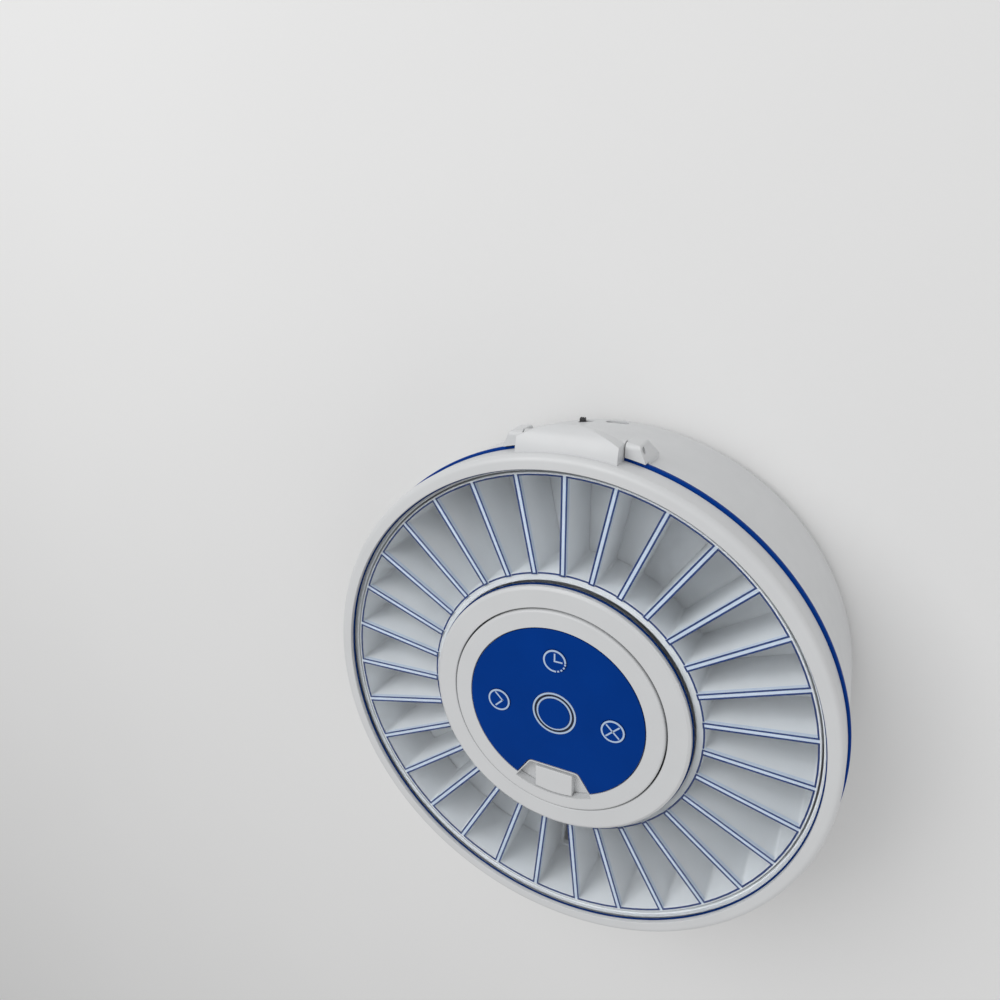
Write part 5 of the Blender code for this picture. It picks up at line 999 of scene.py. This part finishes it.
def make_usb():
    half_height, start = 1.6, 96.0
    middle = PARTS_LEVEL + half_height
    outer = box_outline((-4.5, middle - half_height), (4.5, middle + half_height), 1.55, 8)
    inner = box_outline((-4.2, middle - 1.3), (4.2, middle + 1.3), 1.28, 8)
    shell = plate_y("shell", [outer, inner], start, 104.3, 0.05)
    back = plate_y("back", [outer], start, start + 1.2)
    dress(merged("usb", [shell, back]), "usb_shell", STEEL, "base", ["usb_socket"])
    outline = box_outline((-3.35, middle - 0.35), (3.35, middle + 0.35), 0.2)
    tongue = plate_y("tongue", [outline], 97, 103.4)
    dress(tongue, "usb_tongue", BLACK, "base")


def make_knob():
    x0, x1 = -16.8, -14.2
    knob = plate_y("knob", [box_outline((x0, 11.1), (x1, 12.9), 0.3)], 97.3, 105.4, 0.15)
    ribs = []
    for offset in (0.2, 1.05, 1.9):
        outline = box_outline((x0 + offset, 11.15), (x0 + offset + 0.5, 12.85), 0.1)
        ribs.append(plate_y("rib", [outline], 105.0, 105.8, 0.1))
    knob = merged("knob", [knob, *ribs])
    dress(knob, "switch_slider", BLACK, "switch_knob", ["power_switch_knob"])


def make_battery_cover():
    cover = plate("cover", [box_outline(*COVER, 1.0)], BASE_BOTTOM, 4.4, 0.3)
    grooves = []
    first_y, pitch = -27.5, 2.2
    for i in range(6):
        y = first_y + i * pitch
        groove = box_outline((50.2, y), (66.2, y + 1.0), 0.48)
        grooves.append(plate("groove", [groove], 1.0, BASE_BOTTOM + 0.5))
    cut(cover, *grooves)
    dress(cover, "battery_door", WHITE, "base", ["battery_cover"])


def make_screws():
    head_radius, head_low, head_high = 2.8, 2.35, 4.0
    shank_radius, tip = 1.4, 16.3
    corners = [
        (0.0, head_low),
        (head_radius, head_low, 0.7),
        (head_radius, head_high, 0.1),
        (shank_radius, head_high),
        (shank_radius, tip, 0.5),
        (0.0, tip),
    ]
    for i, (x, y) in enumerate(boss_places()):
        screw = turned("screw", rounded(corners, 5, closed=False), SMALL_FINE, (x, y))
        for dx, dy in ((1.6, 0.3), (0.3, 1.6)):
            cut(screw, block("cross", (x - dx, y - dy, 1.0), (x + dx, y + dy, 3.4)))
        dress(screw, f"screw_{i + 1}", STEEL, "base", [f"base_screw_{i + 1}"])


def make_cable():
    """Four thin leads from the main board up to the control board."""
    route = [(52.7, 12.4), (44, 13.4), (31, 21), (16, 34), (11, 46), (11, 56), (12, 63.1)]
    thin = 0.45
    for i, (dx, dz) in enumerate(((-thin, -thin), (thin, -thin), (-thin, thin), (thin, thin))):
        curve = wire_curve("lead", thin)
        spline = curve.splines.new("BEZIER")
        spline.bezier_points.add(len(route) - 1)
        for point, (y, z) in zip(spline.bezier_points, route):
            upright = z > 40
            point.co = (dx, y + (dz if upright else 0.0), z + (0.0 if upright else dz))
            point.handle_left_type = point.handle_right_type = "AUTO"
        lead = link(bpy.data.objects.new("lead", curve_mesh("lead", curve)))
        nodes = ["panel_cable"] if i == 0 else []
        dress(lead, f"panel_lead_{i + 1}", BLACK, "base", nodes)


def finish_cad_nodes():
    """Materials for the nodes that stay as they are."""
    by_node = {
        "hub_base": WHITE,
        "drive_pinion": GEAR,
        "gearmotor_gearbox": GREY,
        "drawer_guide_left": GREY,
        "drawer_guide_right": GREY,
        "drop_sensor": BLACK,
        "speaker": BLACK,
        "battery_holder": BLACK,
        "battery_cell_1": CELL_WRAP,
        "battery_cell_2": CELL_WRAP,
        "main_board": board_material("main_circuit", 0.0097),
        "control_board": board_material("control_circuit", 0.07),
    }
    steel = ["hinge_pin", "gearmotor_can", "motor_shaft", "wireless_module"]
    steel += ["power_switch_body", "battery_contact_front", "battery_contact_rear"]
    for label in ("clock", "next", "cancel", "centre"):
        steel.append(f"tact_switch_{label}")
        by_node[f"plunger_{label}"] = BLACK
    steel += [f"hub_screw_{i}" for i in (1, 2, 3)]
    by_node.update({name: STEEL for name in steel})
    for name, material in by_node.items():
        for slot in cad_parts[name].material_slots:
            slot.material = material


# Stage


def make_stage():
    """A round floor, which is drawn in metres."""
    radius, thickness = 3.0, 0.02
    floor = plate("floor", [circle(radius, 180)], -thickness, 0.0)
    made, tree, shader = new_material("floor")
    clouds = remapped(tree, noise(tree, 3.0, 3.0), 0.0, 1.0)
    tint = mix_colours(tree, clouds, (0.84, 0.84, 0.838), (0.86, 0.86, 0.858))
    tree.links.new(tint.outputs["Result"], shader.inputs["Base Color"])
    gloss = remapped(tree, noise(tree, 20.0), 0.8, 0.9)
    tree.links.new(gloss, shader.inputs["Roughness"])
    floor.data.materials.append(made)


def add_lamp(name, power, size, place, target):
    lamp = bpy.data.lights.new(name, "AREA")
    lamp.energy = power
    lamp.size = size
    thing = link(bpy.data.objects.new(name, lamp))
    thing.location = place
    aim = Vector(target) - Vector(place)
    thing.rotation_euler = aim.to_track_quat("-Z", "Y").to_euler()


def make_light():
    world = bpy.data.worlds.new("studio")
    bpy.context.scene.world = world
    world.use_nodes = True
    sky = world.node_tree.nodes["Background"]
    sky.inputs["Color"].default_value = (1.0, 1.0, 1.0, 1.0)
    sky.inputs["Strength"].default_value = 0.46
    add_lamp("key", 8.0, 0.9, (-0.45, 0.75, 1.05), (0.0, 0.0, 0.05))
    add_lamp("fill", 2.5, 1.2, (1.0, -0.3, 0.9), (0.0, 0.0, 0.05))


def make_camera():
    """The camera's place, in outer radii, was worked out from the drawing's rings."""
    lens = bpy.data.cameras.new("camera")
    lens.sensor_width = 36.0
    lens.lens = 27.75
    lens.clip_start = 0.01
    camera = link(bpy.data.objects.new("camera", lens))
    right = Vector((0.8935836, -0.00835099, -0.44881913))
    down = Vector((0.14538702, -0.94055171, 0.30696106))
    forward = Vector((-0.42470103, -0.33954784, -0.83924746))
    turn = Matrix((right, -down, -forward)).transposed()
    centre = Vector((0.0, SHIFT_Y * MM, LID_TOP * MM))
    spot = centre + SEAL_RADIUS * MM * Vector((0.9224, 1.7219, 2.2672))
    camera.matrix_world = Matrix.Translation(spot) @ turn.to_4x4()
    bpy.context.scene.camera = camera


def main():
    make_camera()
    make_light()
    make_stage()
    make_base()
    make_feet()
    make_seal()
    make_deck()
    make_carousel()
    make_tray_lines()
    make_lid_ring()
    make_window()
    make_lid_collar()
    make_window_seals()
    make_hub_cover()
    make_panel()
    make_buttons()
    make_centre_button()
    make_light_ring()
    make_latch()
    make_spring()
    make_drawer()
    make_usb()
    make_knob()
    make_battery_cover()
    make_screws()
    make_cable()
    finish_cad_nodes()
    bpy.context.scene.view_settings.view_transform = "Standard"


main()
